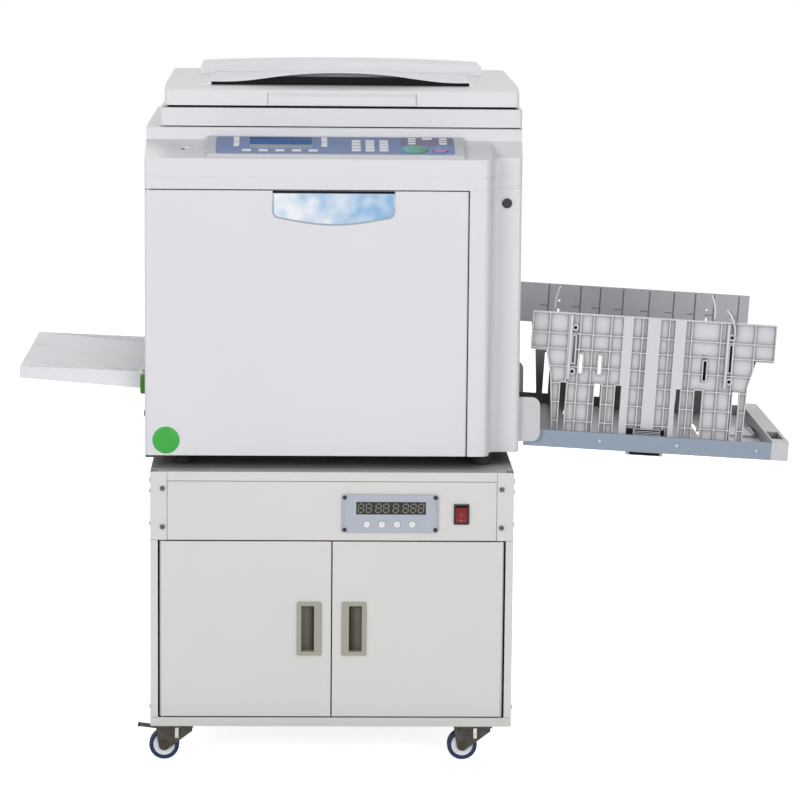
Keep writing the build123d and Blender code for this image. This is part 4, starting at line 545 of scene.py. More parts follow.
def add_block(name: str, low: Point, high: Point) -> Piece:
    """Add a block between two corners.

    Args:
        name: The piece's name.
        low: Its lowest corner.
        high: Its highest corner.

    Returns:
        The piece.
    """
    choose_none()
    middle = [(a + b) / 2 for a, b in zip(low, high)]
    size = [b - a for a, b in zip(low, high)]
    bpy.ops.mesh.primitive_cube_add(size=1, location=middle, scale=size)
    return new_piece(name)


def add_round(name: str, centre: Point, radius: float, depth: float, sides: int = 32) -> Piece:
    """Add a round piece that runs from front to back.

    Args:
        name: The piece's name.
        centre: Its middle.
        radius: Its radius.
        depth: Its length.
        sides: How many flat sides it is drawn with.

    Returns:
        The piece.
    """
    choose_none()
    turn = (math.pi / 2, 0, 0)
    bpy.ops.mesh.primitive_cylinder_add(vertices=sides, radius=radius, depth=depth, location=centre, rotation=turn)
    return new_piece(name)


def apply(piece: Piece, kind: str, **settings: object) -> None:
    """Put a modifier on a piece and apply it.

    Args:
        piece: The piece.
        kind: The modifier's type name.
        **settings: The modifier's properties.
    """
    choose(piece)
    modifier = piece.modifiers.new(kind.title(), kind)
    for name, value in settings.items():
        setattr(modifier, name, value)
    bpy.ops.object.modifier_apply(modifier=modifier.name)


def round_edges(piece: Piece, width: float, segments: int = 2, angle: float = 30.0) -> None:
    """Round the sharp edges of a piece and shade it smooth between them.

    Args:
        piece: The piece.
        width: The width of the rounding.
        segments: How many steps it has.
        angle: Edges sharper than this, in degrees, are rounded.
    """
    limit = {"limit_method": "ANGLE", "angle_limit": math.radians(angle), "use_clamp_overlap": True}
    apply(piece, "BEVEL", width=width, segments=segments, **limit)
    choose(piece)
    bpy.ops.object.shade_smooth_by_angle(angle=math.radians(angle + 10))


def every_face(face: bpy.types.MeshPolygon) -> bool:
    """Pass every face."""
    return True


@contextmanager
def editing(piece: Piece, test: Callable[[bpy.types.MeshPolygon], bool] = every_face) -> Iterator[None]:
    """Open a piece in edit mode with the faces selected that pass a test.

    Args:
        piece: The piece.
        test: Says of a face whether it is selected.

    Yields:
        Nothing, while the piece is open.
    """
    choose(piece)
    bpy.ops.object.mode_set(mode="EDIT")
    bpy.ops.mesh.select_mode(type="FACE")
    bpy.ops.mesh.select_all(action="DESELECT")
    bpy.ops.object.mode_set(mode="OBJECT")
    for face in piece.data.polygons:
        face.select = test(face)
    bpy.ops.object.mode_set(mode="EDIT")
    yield
    bpy.ops.object.mode_set(mode="OBJECT")


def ring_face(piece: Piece, look: int, rings: tuple[Pair, ...]) -> None:
    """Inset the face at a piece's front or back, ring by ring.

    Args:
        piece: The piece.
        look: The way that the face looks along Y: -1 to the front, 1 to the back.
        rings: How wide each ring is and how much it rises, in millimetres.
    """
    with editing(piece, lambda face: face.normal.y * look > 0.9):
        for width, rise in rings:
            bpy.ops.mesh.inset(thickness=width * MM, depth=rise * MM)


def add_plate(name: str, outline: Outline, thickness: float, place: Matrix) -> Piece:
    """Add a flat plate with any outline.

    Args:
        name: The piece's name.
        outline: Its corners, counter-clockwise, in the plate's own plane.
        thickness: How thick it is, above that plane.
        place: Where the plane lies.

    Returns:
        The piece.
    """
    choose_none()
    curve = bpy.data.curves.new(name, "CURVE")
    curve.dimensions = "2D"
    curve.fill_mode = "BOTH"
    line = curve.splines.new("POLY")
    line.points.add(len(outline) - 1)
    for point, (x, y) in zip(line.points, outline):
        point.co = (x, y, 0, 1)
    line.use_cyclic_u = True
    piece = bpy.data.objects.new(name, curve)
    bpy.context.scene.collection.objects.link(piece)
    choose(piece)
    bpy.ops.object.convert(target="MESH")
    piece = bpy.context.object
    with editing(piece):
        bpy.ops.mesh.dissolve_limited(angle_limit=math.radians(1))
        bpy.ops.mesh.normals_make_consistent(inside=False)
    if piece.data.polygons[0].normal.z < 0:
        with editing(piece):
            bpy.ops.mesh.flip_normals()
    with editing(piece):
        bpy.ops.mesh.extrude_region_move(TRANSFORM_OT_translate={"value": (0, 0, thickness)})
        bpy.ops.mesh.select_all(action="SELECT")
        bpy.ops.mesh.normals_make_consistent(inside=False)
    piece.matrix_world = place
    return new_piece(name)


def rounded(low: Pair, high: Pair, radius: float) -> Outline:
    """Draw a rectangle with rounded corners.

    Args:
        low: Its lowest corner.
        high: Its highest corner.
        radius: The radius of its corners.

    Returns:
        The outline, counter-clockwise.
    """
    steps = 5
    corners = (
        (high[0] - radius, high[1] - radius, 0),
        (low[0] + radius, high[1] - radius, 90),
        (low[0] + radius, low[1] + radius, 180),
        (high[0] - radius, low[1] + radius, 270),
    )
    outline = []
    for x, y, start in corners:
        for step in range(steps + 1):
            angle = math.radians(start + 90 * step / steps)
            outline.append((x + radius * math.cos(angle), y + radius * math.sin(angle)))
    return outline


def oval(centre: Pair, half_width: float, half_height: float, steps: int = 48) -> Outline:
    """Draw an oval round its middle, counter-clockwise, from a number of steps."""
    turns = [2 * math.pi * step / steps for step in range(steps)]
    return [(centre[0] + half_width * math.cos(t), centre[1] + half_height * math.sin(t)) for t in turns]


def shifted(line: Outline, along: float, up: float) -> Outline:
    """Move a drawn line along and up."""
    return [(x + along, y + up) for x, y in line]


def cut(piece: Piece, tool: Piece) -> None:
    """Cut one piece out of another and remove the cutter."""
    apply(piece, "BOOLEAN", operation="DIFFERENCE", object=tool, solver="EXACT")
    bpy.data.objects.remove(tool)


def upright(y: float) -> Matrix:
    """Place a drawn plane upright at a depth, facing the front, with its outline's axes along X and Z."""
    return Matrix.Translation((0, y, 0)) @ Matrix.Rotation(math.pi / 2, 4, "X")


def shelf(above: float) -> Matrix:
    """Place a drawn plane at a height above the sloped shelf, with X to the right and Y up the slope."""
    foot = Matrix.Translation((0.0, -240 * MM, 1004 * MM))
    return foot @ Matrix.Rotation(math.radians(19), 4, "X") @ Matrix.Translation((0, 0, above))


def dress(piece: Piece, finish: Finish) -> None:
    """Give a piece or node a finish in place of what it has."""
    piece.data.materials.clear()
    piece.data.materials.append(finish.material())


def seat(piece: Piece, body: str, finish: Finish, edge: float = 0.0) -> Piece:
    """Round and dress a modelled piece, and let it ride on a body.

    Args:
        piece: The piece.
        body: The body that carries it.
        finish: Its finish.
        edge: How far its edges are rounded, if they are.

    Returns:
        The piece.
    """
    if edge:
        round_edges(piece, edge)
    dress(piece, finish)
    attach(piece, body)
    log.info("%s rides on %s in %s", piece.name, body, finish.name)
    return piece


@dataclass
class SubAssembly:
    """A group of nodes and pieces that are dressed together."""

    nodes: dict[str, Piece]
    edge: float = 0.5 * MM
    looks: ClassVar[Looks] = {}
    sharp: ClassVar[tuple[str, ...]] = ()

    def build(self) -> None:
        """Dress the group's nodes, soften all but the sharp ones, and model its pieces."""
        for finish, names in self.looks.items():
            for name in names:
                dress(self.nodes[name], finish)
                if name not in self.sharp:
                    self.soften(self.nodes[name])
                log.info("node %s in %s", name, finish.name)
        self.model()

    def soften(self, node: Piece) -> None:
        """Give a node's sharp edges a small rounding that catches the light.

        Args:
            node: The node.
        """
        weld = node.modifiers.new("Weld", "WELD")
        weld.merge_threshold = 0.001 * MM
        bevel = node.modifiers.new("Bevel", "BEVEL")
        bevel.width = self.edge
        bevel.segments = 2
        bevel.limit_method = "ANGLE"
        bevel.angle_limit = math.radians(40)
        bevel.use_clamp_overlap = True
        bevel.harden_normals = True

    def model(self) -> None:
        """Model the pieces that the frame leaves out, if there are any."""


@dataclass
class Cabinet(SubAssembly):
    """The steel cabinet with its two doors and the pulls let into them."""

    looks: ClassVar[Looks] = {
        CABINET: ("stand_frame", "stand_panels", "left_cabinet_door", "right_cabinet_door"),
        SCREW: ("stand_screws",),
        PULL: ("left_door_pull", "right_door_pull"),
    }
    shade_plate_half: Pair = mm(10.6, 38.3)
    shade_plate_shift: float = 2.4 * MM
    shade_plate_depth: float = 1.3 * MM

    def model(self) -> None:
        """Put a painted shade, a thin plate graded from dark to paler, at the bottom of each pull's recess, which lies
        in its own shade.
        """
        for side in Side:
            low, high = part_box(f"{side.word}_door_pull")
            x, z = (low[0] + high[0]) / 2 + side.value * self.shade_plate_shift, (low[2] + high[2]) / 2
            near, far = x - self.shade_plate_half[0], x + self.shade_plate_half[0]
            outline = rounded((near, z - self.shade_plate_half[1]), (far, z + self.shade_plate_half[1]), MM)
            dark, pale = (near, far)[:: side.value]
            shade = GradedPlastic(
                f"pull_recess_{side.word}", "#2A2520", far_colour="#6E675C", low=(dark, 0, 0), high=(pale, 0, 0)
            )
            shade_plate = add_plate(f"pull_liner_{side.word}", outline, 0.3 * MM, upright(high[1] - self.shade_plate_depth))
            seat(shade_plate, f"{side.word}_cabinet_door", shade, 0.1 * MM)


@dataclass
class CounterUnit(SubAssembly):
    """The sheet counter with its display, push buttons and black cap screws."""

    looks: ClassVar[Looks] = {
        COUNTER: ("counter_plate",),
        DISPLAY: ("counter_display",),
        WHITE_KEY: tuple(f"counter_button_{number}" for number in range(1, 5)),
    }
    edge: float = 0.2 * MM
    window_shift: Pair = mm(1.5, 9.0)
    digit_height: float = 14.2 * MM
    digit_width: float = 8.4 * MM
    digit_slant: float = 5.0
    bar: float = 1.5 * MM
    groups: tuple[int, ...] = (2, 2, 1, 3)
    pitch: float = 12.7 * MM
    group_gap: float = 3.4 * MM
    cap_radius: float = 5.3 * MM
    dimple_radius: float = 1.35 * MM
    screw_radius: float = 3.4 * MM
    screw_depth: float = 2.2 * MM
    screw_inset: float = 4.5 * MM

    def model(self) -> None:
        """Model the unlit digits, the buttons' dished caps with their dimples, and the cap screws."""
        low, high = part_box("counter_plate")
        self.digits((low[0] + high[0]) / 2 + self.window_shift[0], (low[2] + high[2]) / 2 + self.window_shift[1])
        for name in self.looks[WHITE_KEY]:
            self.cap(name, low[1])
        for x in (low[0] + self.screw_inset, high[0] - self.screw_inset):
            for z in (low[2] + self.screw_inset, high[2] - self.screw_inset):
                self.screw(x, low[1], z)

    def screw(self, x: float, y: float, z: float) -> None:
        """Model one cap screw with its hexagon socket.

        Args:
            x: Its place across.
            y: How deep its base lies.
            z: Its height.
        """
        depth = self.screw_depth
        head = add_round("counter_screw", (x, y - depth / 2, z), self.screw_radius, depth)
        cut(head, add_round("socket_cutter", (x, y - depth, z), self.screw_radius * 0.45, depth, 6))
        seat(head, "machine", BLACK, 0.3 * MM)

    def cap(self, button: str, back: float) -> None:
        """Model one push button's cap, dished in the middle, in place of the frame's plain one.

        Args:
            button: The button's node, which is also its body.
            back: How deep the counter's face lies.
        """
        low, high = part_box(button)
        x, z, number = (low[0] + high[0]) / 2, (low[2] + high[2]) / 2, button[-1]
        middle = (x, (low[1] + back) / 2, z)
        head = add_round(f"counter_cap_{number}", middle, self.cap_radius, back - low[1], 48)
        ring_face(head, -1, ((3.0, 0), (0.8, -0.5)))
        seat(head, button, WHITE_KEY, 0.35 * MM)
        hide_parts(button)
        bottom = (x, low[1] + 0.45 * MM, z)
        spot = add_round(f"counter_dimple_{number}", bottom, self.dimple_radius, 0.2 * MM)
        seat(spot, button, DIMPLE, 0.05 * MM)

    def digits(self, x: float, z: float) -> None:
        """Model the seven-segment digits as flush bars on the display's face.

        Args:
            x: The middle of the display's window.
            z: Its middle in height.
        """
        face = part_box("counter_display")[0][1] - 0.1 * MM
        x -= ((sum(self.groups) - 1) * self.pitch + (len(self.groups) - 1) * self.group_gap) / 2
        bars = []
        for group in self.groups:
            for _ in range(group):
                bars += self.digit(x, z, face)
                x += self.pitch
            x += self.group_gap
        choose(bars[0])
        for bar in bars:
            bar.select_set(True)
        bpy.ops.object.join()
        seat(new_piece("display_segments"), "machine", SEGMENT)

    def digit(self, x: float, z: float, face: float) -> list[Piece]:
        """Model one digit's seven bars.

        Args:
            x: The digit's middle.
            z: Its middle in height.
            face: How deep its face lies.

        Returns:
            The bars.
        """
        half_w, half_h, bar, gap = self.digit_width / 2, self.digit_height / 2, self.bar, self.bar * 0.7
        lean = math.tan(math.radians(self.digit_slant))
        spans = [((-half_w + bar, row - bar / 2), (half_w - bar, row + bar / 2)) for row in (-half_h, 0, half_h)]
        for side in (-half_w, half_w):
            for row in (-half_h / 2, half_h / 2):
                low, high = row - half_h / 2 + gap, row + half_h / 2 - gap
                spans.append(((side - bar / 2, low), (side + bar / 2, high)))
        bars = []
        for (x0, z0), (x1, z1) in spans:
            corners = [(x0, z0), (x1, z0), (x1, z1), (x0, z1)]
            outline = [(x + px + pz * lean, z + pz) for px, pz in corners]
            bars.append(add_plate("segment", outline, 0.15 * MM, upright(face + 0.12 * MM)))
        return bars


@dataclass
class PowerSwitch(SubAssembly):
    """The red rocker in its black bezel."""

    looks: ClassVar[Looks] = {BLACK: ("rocker_bezel",), ROCKER: ("rocker_button",)}
    edge: float = 0.4 * MM
    pivot: Pair = mm(-268, 421.5)
    tilt: float = 8.0
    reach: float = 11.0 * MM
    dish: float = 1.6 * MM
    half_height: float = 12.2 * MM
    arc_share: float = 0.985
    foot: Pair = mm(2, 9)

    def model(self) -> None:
        """Model the dished cap, and the ring and the bar that mark its two ends."""
        low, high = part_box("rocker_button")
        pivot = Matrix.Translation(((low[0] + high[0]) / 2, *self.pivot))
        lean = pivot @ Matrix.Rotation(math.radians(self.tilt), 4, "X")
        self.cap(lean, high[0] - low[0])
        face = lean @ upright(-self.reach + self.dish)
        ring = add_plate("rocker_ring", oval((0, 0), 2.0 * MM, 2.0 * MM, 32), 0.2 * MM, face)
        hole = oval((0, 0), 1.3 * MM, 1.3 * MM, 32)
        cut(ring, add_plate("ring_cutter", hole, 2 * MM, face @ Matrix.Translation((0, 0, -MM))))
        seat(ring, "rocker", ROCKER_MARK)
        end = lean @ Matrix.Translation((0, -self.reach + 0.35 * MM, -9.0 * MM)) @ Matrix.Rotation(math.pi / 2, 4, "X")
        bar = add_plate("rocker_bar", rounded(mm(-1.9, -1.2), mm(1.9, 1.2), 0.8 * MM), 0.3 * MM, end)
        seat(bar, "rocker", ROCKER_MARK)

    def cap(self, lean: Matrix, width: float) -> None:
        """Model the rocker with its dished face and ends that are arcs round the pivot.

        Args:
            lean: Where the pivot lies and how the rocker leans at rest.
            width: How wide the rocker is.
        """
        rise = 2 * self.dish / self.half_height**2
        steps = [self.half_height * (step / 8 - 1) for step in range(17)]
        outline = [(-self.reach + self.dish - rise / 2 * z * z, z) for z in steps]
        corner = math.atan2(self.half_height, self.reach)
        radius = self.half_height / math.sin(corner)
        angles = [corner + math.radians(1.7 * step) for step in range(1, 5)]
        end = [(-radius * math.cos(a) * self.arc_share, radius * math.sin(a) * self.arc_share) for a in angles]
        upper = [*end, self.foot]
        outline += upper + [(y, -z) for y, z in upper[::-1]]
        sideways = Matrix(((0, 0, 1, 0), (1, 0, 0, 0), (0, 1, 0, 0), (0, 0, 0, 1)))
        place = lean @ Matrix.Translation((-width / 2, 0, 0)) @ sideways
        piece = add_plate("rocker_cap", outline[::-1], width, place)
        round_edges(piece, 0.4 * MM, angle=35)
        seat(piece, "rocker", ROCKER)
        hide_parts("rocker_button")


@dataclass
class Casters(SubAssembly):
    """The four swivel casters."""

    looks: ClassVar[Looks] = {
        ZINC: ("caster_plates", "brake_pedal", *(f"caster_fork_{corner}" for corner in CORNERS))
    }
    edge: float = 0.3 * MM
    tyre_width: float = 20 * MM
    tread: float = 7.0 * MM
    bore: float = 4.1 * MM
    hub_rings: tuple[Pair, ...] = ((1.2, 0), (0.8, -1.0), (7.0, 0), (0.8, 1.0))
    trail: float = 18.0 * MM
    leg_face: float = 14.0 * MM
    rib_proud: float = 1.5 * MM
    rib_width: float = 6.5 * MM
    rib_span: Pair = mm(12.5, 30.2)
    nut_depth: float = 2.5 * MM
    nut_radius: float = 4.4 * MM
    nut_height: float = 1.8 * MM

    def model(self) -> None:
        """Model each wheel as a tyre on a core, and the fork's bright rib and axle nut beside it."""
        for corner in CORNERS:
            low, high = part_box(f"caster_wheel_{corner}")
            centre = tuple((a + b) / 2 for a, b in zip(low, high))
            self.wheel(corner, centre, (high[2] - low[2]) / 2)
            self.fork_details(corner, *centre)

    def wheel(self, corner: str, centre: Point, radius: float) -> None:
        """Model one wheel.

        Args:
            corner: Which caster it belongs to.
            centre: The wheel's middle.
            radius: The tyre's radius.
        """
        inner, width, body = radius - self.tread, self.tyre_width, f"wheel_{corner}"
        tyre = add_round(f"tyre_{corner}", centre, radius, width, 64)
        cut(tyre, add_round("bore_cutter", centre, inner, width * 1.5, 64))
        round_edges(tyre, 2.6 * MM, 4)
        core = add_round(f"core_{corner}", centre, inner, width - 2 * MM, 64)
        for look in (-1, 1):
            ring_face(core, look, self.hub_rings)
        cut(core, add_round("axle_cutter", centre, self.bore, width * 1.5))
        seat(core, body, WHEEL_CORE, 0.4 * MM)
        seat(tyre, body, TYRE)
        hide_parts(f"caster_wheel_{corner}")

    def fork_details(self, corner: str, x: float, y: float, z: float) -> None:
        """Model a lighter strip on the face of a fork's pressed rib, and the nut on its axle.

        Args:
            corner: Which caster it belongs to.
            x: The wheel's middle across.
            y: How deep the wheel's middle lies.
            z: Its height.
        """
        face, start, body = y - self.leg_face, x + self.trail, f"fork_{corner}"
        low = (start + 0.3 * MM, face - self.rib_proud - 0.4 * MM, z + self.rib_span[0])
        high = (start + self.rib_width - 0.3 * MM, face, z + self.rib_span[1])
        seat(add_block(f"fork_rib_{corner}", low, high), body, BRIGHT_ZINC, 0.2 * MM)
        middle = (x, face - self.nut_depth - self.nut_height / 2, z)
        nut = add_round(f"axle_nut_{corner}", middle, self.nut_radius, self.nut_height, 6)
        ring_face(nut, -1, ((1.4, 0), (0.4, -0.8)))
        seat(nut, body, NUT_ZINC, 0.25 * MM)


@dataclass
class Shells(SubAssembly):
    """The duplicator's covers, door and platen cover, with the plain badge and disc on the door."""

    looks: ClassVar[Looks] = {
        SHELL: ("front_door", "left_cover", "right_cover", "rear_cover", "upper_cover", "scanner_housing"),
        LID: ("platen_cover", "cover_hood"),
        CHASSIS: ("cover_hinges",),
        PANEL_GLASS: ("platen_glass",),
        DARK_BUTTON: ("pillar_button",),
        FOOT: ("body_feet",),
        UNDERSIDE: ("base_frame",),
        BLACK: ("power_inlet",),
    }
    # A bevel on the rear cover leaves streaks of shade round its louvres
    sharp: ClassVar[tuple[str, ...]] = ("rear_cover",)
    edge: float = 0.8 * MM
    pocket_low: Pair = mm(-250.2, 37.0)
    pocket_high: Pair = mm(-245.4, 45.4)
    rib_low: Pair = mm(-244.4, 39.4)
    rib_high: Pair = mm(-216.5, 41.0)
    pocket_depth: float = 2.45 * MM
    reveal_depth: float = 4.6 * MM
    reveal_span: Pair = mm(0.1, 1.7)
    gap_shade_inset: float = 6.0 * MM
    gap_shade_width: float = 4.0 * MM
    gap_shade_span: Pair = mm(1082.3, 1086.4)
    gap_shade_end: float = 290 * MM
    slot_span: Pair = mm(-204, 226)
    slot_mouth: float = -110.0 * MM
    slot_floor: float = 1116.5 * MM
    arch_half: float = 195.0 * MM
    arch_flat: float = 100.0 * MM
    arch_lift: float = 9.3 * MM
    grip_span: Pair = mm(-109.5, 135.5)
    grip_rows: Pair = mm(1087, 1107)
    grip_line: Pair = mm(1100.6, 1101.5)
    badge_span: Pair = mm(-101, 100)
    badge_top: float = 948.2 * MM
    badge_side: float = 42 * MM
    badge_belly: float = 53 * MM
    badge_radius: float = 12 * MM
    badge_frame: float = 3.0 * MM
    recess_span: Pair = mm(948.3, 951.7)
    disc_place: Pair = mm(-275, 538)
    disc_radius: float = 22.5 * MM
    film_low: Pair = (-0.2485, -0.1335)
    film_high: Pair = (0.2755, 0.2945)
    film_height: float = 1.0821

    def model(self) -> None:
        """Model the painted shades of the shelf and the lid, the lid's seams and film, the badge and the green disc.
        """
        self.reveal()
        self.pocket()
        self.gap_shade()
        self.slot_liner()
        self.grip_seams()
        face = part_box("front_door")[0][1]
        self.badge(face)
        x, z = self.disc_place
        disc = add_round("green_disc", (x, face - 0.3 * MM, z), self.disc_radius, 0.6 * MM, 64)
        seat(disc, "front_door", GREEN_DISC, 0.2 * MM)
        place = Matrix.Translation((0, 0, self.film_height))
        film = add_plate("pad_film", rounded(self.film_low, self.film_high, 0.004), 0.2 * MM, place)
        seat(film, "platen_lid", PAD)

    def pocket(self) -> None:
        """Model the shade in the shelf's small pocket, and the rib's shade beside it."""
        hole = rounded(self.pocket_low, self.pocket_high, MM)
        line = rounded(self.rib_low, self.rib_high, 0.4 * MM)
        for name, outline, finish in (("pocket_shade", hole, SLOT_DARK), ("pocket_line", line, SEAM)):
            seat(add_plate(name, outline, 0.2 * MM, shelf(-self.pocket_depth)), "machine", finish)

    def reveal(self) -> None:
        """Model painted shade: a dark strip at the back of the reveal below the scanner housing."""
        low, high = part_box("scanner_housing")
        deep, (foot, top) = self.reveal_depth, self.reveal_span
        near, far = (low[0] + deep, low[1] + deep, low[2] + foot), (high[0] - deep, high[1] - deep, low[2] + top)
        seat(add_block("reveal_seal", near, far), "machine", SLOT_DARK, 0.2 * MM)

    def gap_shade(self) -> None:
        """Model painted shade: dark strips along the front and sides of the gap under the lid."""
        low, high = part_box("platen_cover")
        wide, (foot, top) = self.gap_shade_width, self.gap_shade_span
        left, right = low[0] + self.gap_shade_inset, high[0] - self.gap_shade_inset
        front = low[1] + self.gap_shade_inset + 2 * MM
        start = front + wide + MM
        strips = {
            "front": ((left, front, foot), (right, front + wide, top)),
            "left": ((left, start, foot), (left + wide, self.gap_shade_end, top)),
            "right": ((right - wide, start, foot), (right, self.gap_shade_end, top)),
        }
        for side, (near, far) in strips.items():
            strip = add_block(f"lid_gasket_{side}", near, far)
            seat(strip, "platen_lid", SLOT_DARK, 0.8 * MM)

    def slot_liner(self) -> None:
        """Model painted shade: a dark plate at the mouth of the slot under the arched hood."""
        left, right = self.slot_span
        middle, base, foot = (left + right) / 2, self.slot_floor + 5.0 * MM, self.slot_floor + 0.3 * MM
        outline = [(left + MM, foot), (right - MM, foot), (right - MM, base)]
        for step in range(25):
            x = self.arch_half * (1 - step / 12)
            ramp = min(max((self.arch_half - abs(x)) / (self.arch_half - self.arch_flat), 0), 1)
            outline.append((middle + x, base + self.arch_lift * (0.5 - 0.5 * math.cos(math.pi * ramp))))
        outline.append((left + MM, base))
        shade_plate = add_plate("slot_liner", outline, 0.6 * MM, upright(self.slot_mouth + 2.5 * MM))
        seat(shade_plate, "platen_lid", SLOT_DARK)

    def grip_seams(self) -> None:
        """Model the joint lines where the front grip meets the lid."""
        place = upright(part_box("platen_cover")[0][1] + 4.0 * MM)
        left, right = self.grip_span
        half, (foot, top), (low, high) = 0.45 * MM, self.grip_rows, self.grip_line
        lines = {
            "0": ((left - half, foot), (left + half, top)),
            "1": ((right - half, foot), (right + half, top)),
            "top": ((left + 2 * MM, low), (right - 2 * MM, high)),
        }
        for name, corners in lines.items():
            seam = add_plate(f"grip_seam_{name}", rounded(*corners, 0.2 * MM), 0.25 * MM, place)
            seat(seam, "platen_lid", SEAM)

    def badge(self, face: float) -> None:
        """Model the plain badge, a pale rim with a graded film, and the painted shade in the finger recess above it.

        Args:
            face: How deep the door's face lies.
        """
        left, right = self.badge_span
        rim = add_plate("badge_rim", self.arched(0), 1.6 * MM, upright(face))
        seat(rim, "front_door", BADGE_RIM, 0.6 * MM)
        sky = GradedPlastic(
            "badge_sky_film",
            "#F0F4F9",
            roughness=0.2,
            far_colour="#8DB9E0",
            low=(left, face, self.badge_top - self.badge_belly),
            high=(right, face, self.badge_top),
            wave=1.9,
            coat=0.6,
        )
        film = add_plate("badge_film", self.arched(self.badge_frame), 0.4 * MM, upright(face - 1.5 * MM))
        seat(film, "front_door", sky)
        foot, top = self.recess_span
        shade = add_block("finger_recess", (left + MM, face + 0.6 * MM, foot), (right - MM, face + 3 * MM, top))
        seat(shade, "front_door", SLOT_DARK, 0.2 * MM)

    def arched(self, inset: float) -> Outline:
        """Draw the badge's outline: a straight top, rounded lower corners and an arched bottom.

        Args:
            inset: How far inside the badge's edge this one is drawn.

        Returns:
            The outline, counter-clockwise.
        """
        x0, x1 = self.badge_span[0] + inset, self.badge_span[1] - inset
        z0, z1 = self.badge_top - self.badge_side + inset, self.badge_top - inset / 6
        drop, radius = self.badge_belly - self.badge_side, self.badge_radius - inset
        quarter = [math.radians(90 * step / 6) for step in range(7)]
        left = [(x0 + radius - radius * math.cos(a), z0 + radius - radius * math.sin(a)) for a in quarter]
        right = [(x1 - radius + radius * math.sin(a), z0 + radius - radius * math.cos(a)) for a in quarter]
        shares = [step / 16 for step in range(1, 16)]
        arch = [(x0 + radius + s * (x1 - x0 - 2 * radius), z0 - drop * math.sin(math.pi * s)) for s in shares]
        return [(x1, z1), (x0, z1), *left, *arch, *right]


@dataclass
class OperationPanel(SubAssembly):
    """The sloped panel with its printed overlay, display and keys."""

    looks: ClassVar[Looks] = {
        POD: ("operation_panel",),
        WHITE_KEY: ("panel_keys",),
        LCD_RIM: ("lcd_window",),
        START_FILM: ("start_key",),
        STOP_BLUE: ("stop_key",),
    }
    edge: float = 0.25 * MM
    rise: float = 7.0 * MM
    start_place: Pair = (0.132, 0.024)
    start_well: Pair = (0.0218, 0.0149)
    stop_place: Pair = (0.174, 0.024)
    stop_well: Pair = (0.0135, 0.0135)
    stop_radius: float = 0.0125

    def plane(self, above: float = 0.0) -> Matrix:
        """Place a drawn plane at a height above the pod's face."""
        return shelf(self.rise + above)

    def model(self) -> None:
        """Model the overlay, its violet field, the display and the two-tone stop key."""
        overlay = add_plate("panel_overlay", rounded((-0.194, 0.005), (0.198, 0.0745), 0.006), 0.35 * MM, self.plane())
        for centre, half in ((self.start_place, self.start_well), (self.stop_place, self.stop_well)):
            cut(overlay, add_plate("well_cutter", oval(centre, *half), 3 * MM, self.plane(-1.5 * MM)))
        seat(overlay, "machine", OVERLAY)
        mode = rounded((0.108, 0.0436), (0.1945, 0.0735), 0.002)
        seat(add_plate("mode_field", mode, 0.15 * MM, self.plane(0.35 * MM)), "machine", MODE_FIELD)
        window = rounded((-0.1385, 0.042), (-0.0365, 0.0715), 0.002)
        glass = GradedPlastic(
            "lcd_blue_glass",
            "#3B68A4",
            roughness=0.3,
            ior=1.3,
            far_colour="#15376B",
            low=tuple(self.plane() @ Vector((-0.09, 0.057, 0))),
            high=tuple(self.plane() @ Vector((-0.09, 0.070, 0))),
        )
        seat(add_plate("lcd_glass", window, 0.5 * MM, self.plane(0.8 * MM)), "machine", glass, 0.2 * MM)
        edge = self.stop_place[1] - 0.5 * MM
        low_half = [(x, y) for x, y in oval(self.stop_place, self.stop_radius, self.stop_radius) if y <= edge]
        half = add_plate("stop_key_half", low_half, 0.25 * MM, self.plane(1.8 * MM))
        seat(half, "stop_key", MAGENTA)


@dataclass
class FeedSide(SubAssembly):
    """The feed tray with its lift and knob, on the left."""

    looks: ClassVar[Looks] = {
        FEED: ("feed_tray",),
        CHASSIS: ("feed_lift",),
        KNOB: ("feed_knob",),
        DARK_BUTTON: ("feed_button",),
    }
    hinge: Point = mm(-316, 0, 634)
    tilt: float = 4.6
    length: float = 205.0 * MM
    ridges: tuple[float, ...] = mm(-163, -140, -104)
    ridge_start: float = 12 * MM
    ridge_half: float = 1.3 * MM

    def model(self) -> None:
        """Model the low ridges that run along the deck and stiffen it."""
        lean = math.radians(self.tilt)
        sine, cosine = math.sin(lean), math.cos(lean)
        turn = Matrix(((-cosine, 0, sine, 0), (0, -1, 0, 0), (sine, 0, cosine, 0), (0, 0, 0, 1)))
        place = Matrix.Translation(self.hinge) @ turn
        for number, y in enumerate(self.ridges):
            low, high = (self.ridge_start, -y - self.ridge_half), (self.length - 2 * MM, -y + self.ridge_half)
            ridge = add_plate(f"feed_ridge_{number}", rounded(low, high, MM), 1.1 * MM, place)
            seat(ridge, "feed_tray", FEED, 0.5 * MM)


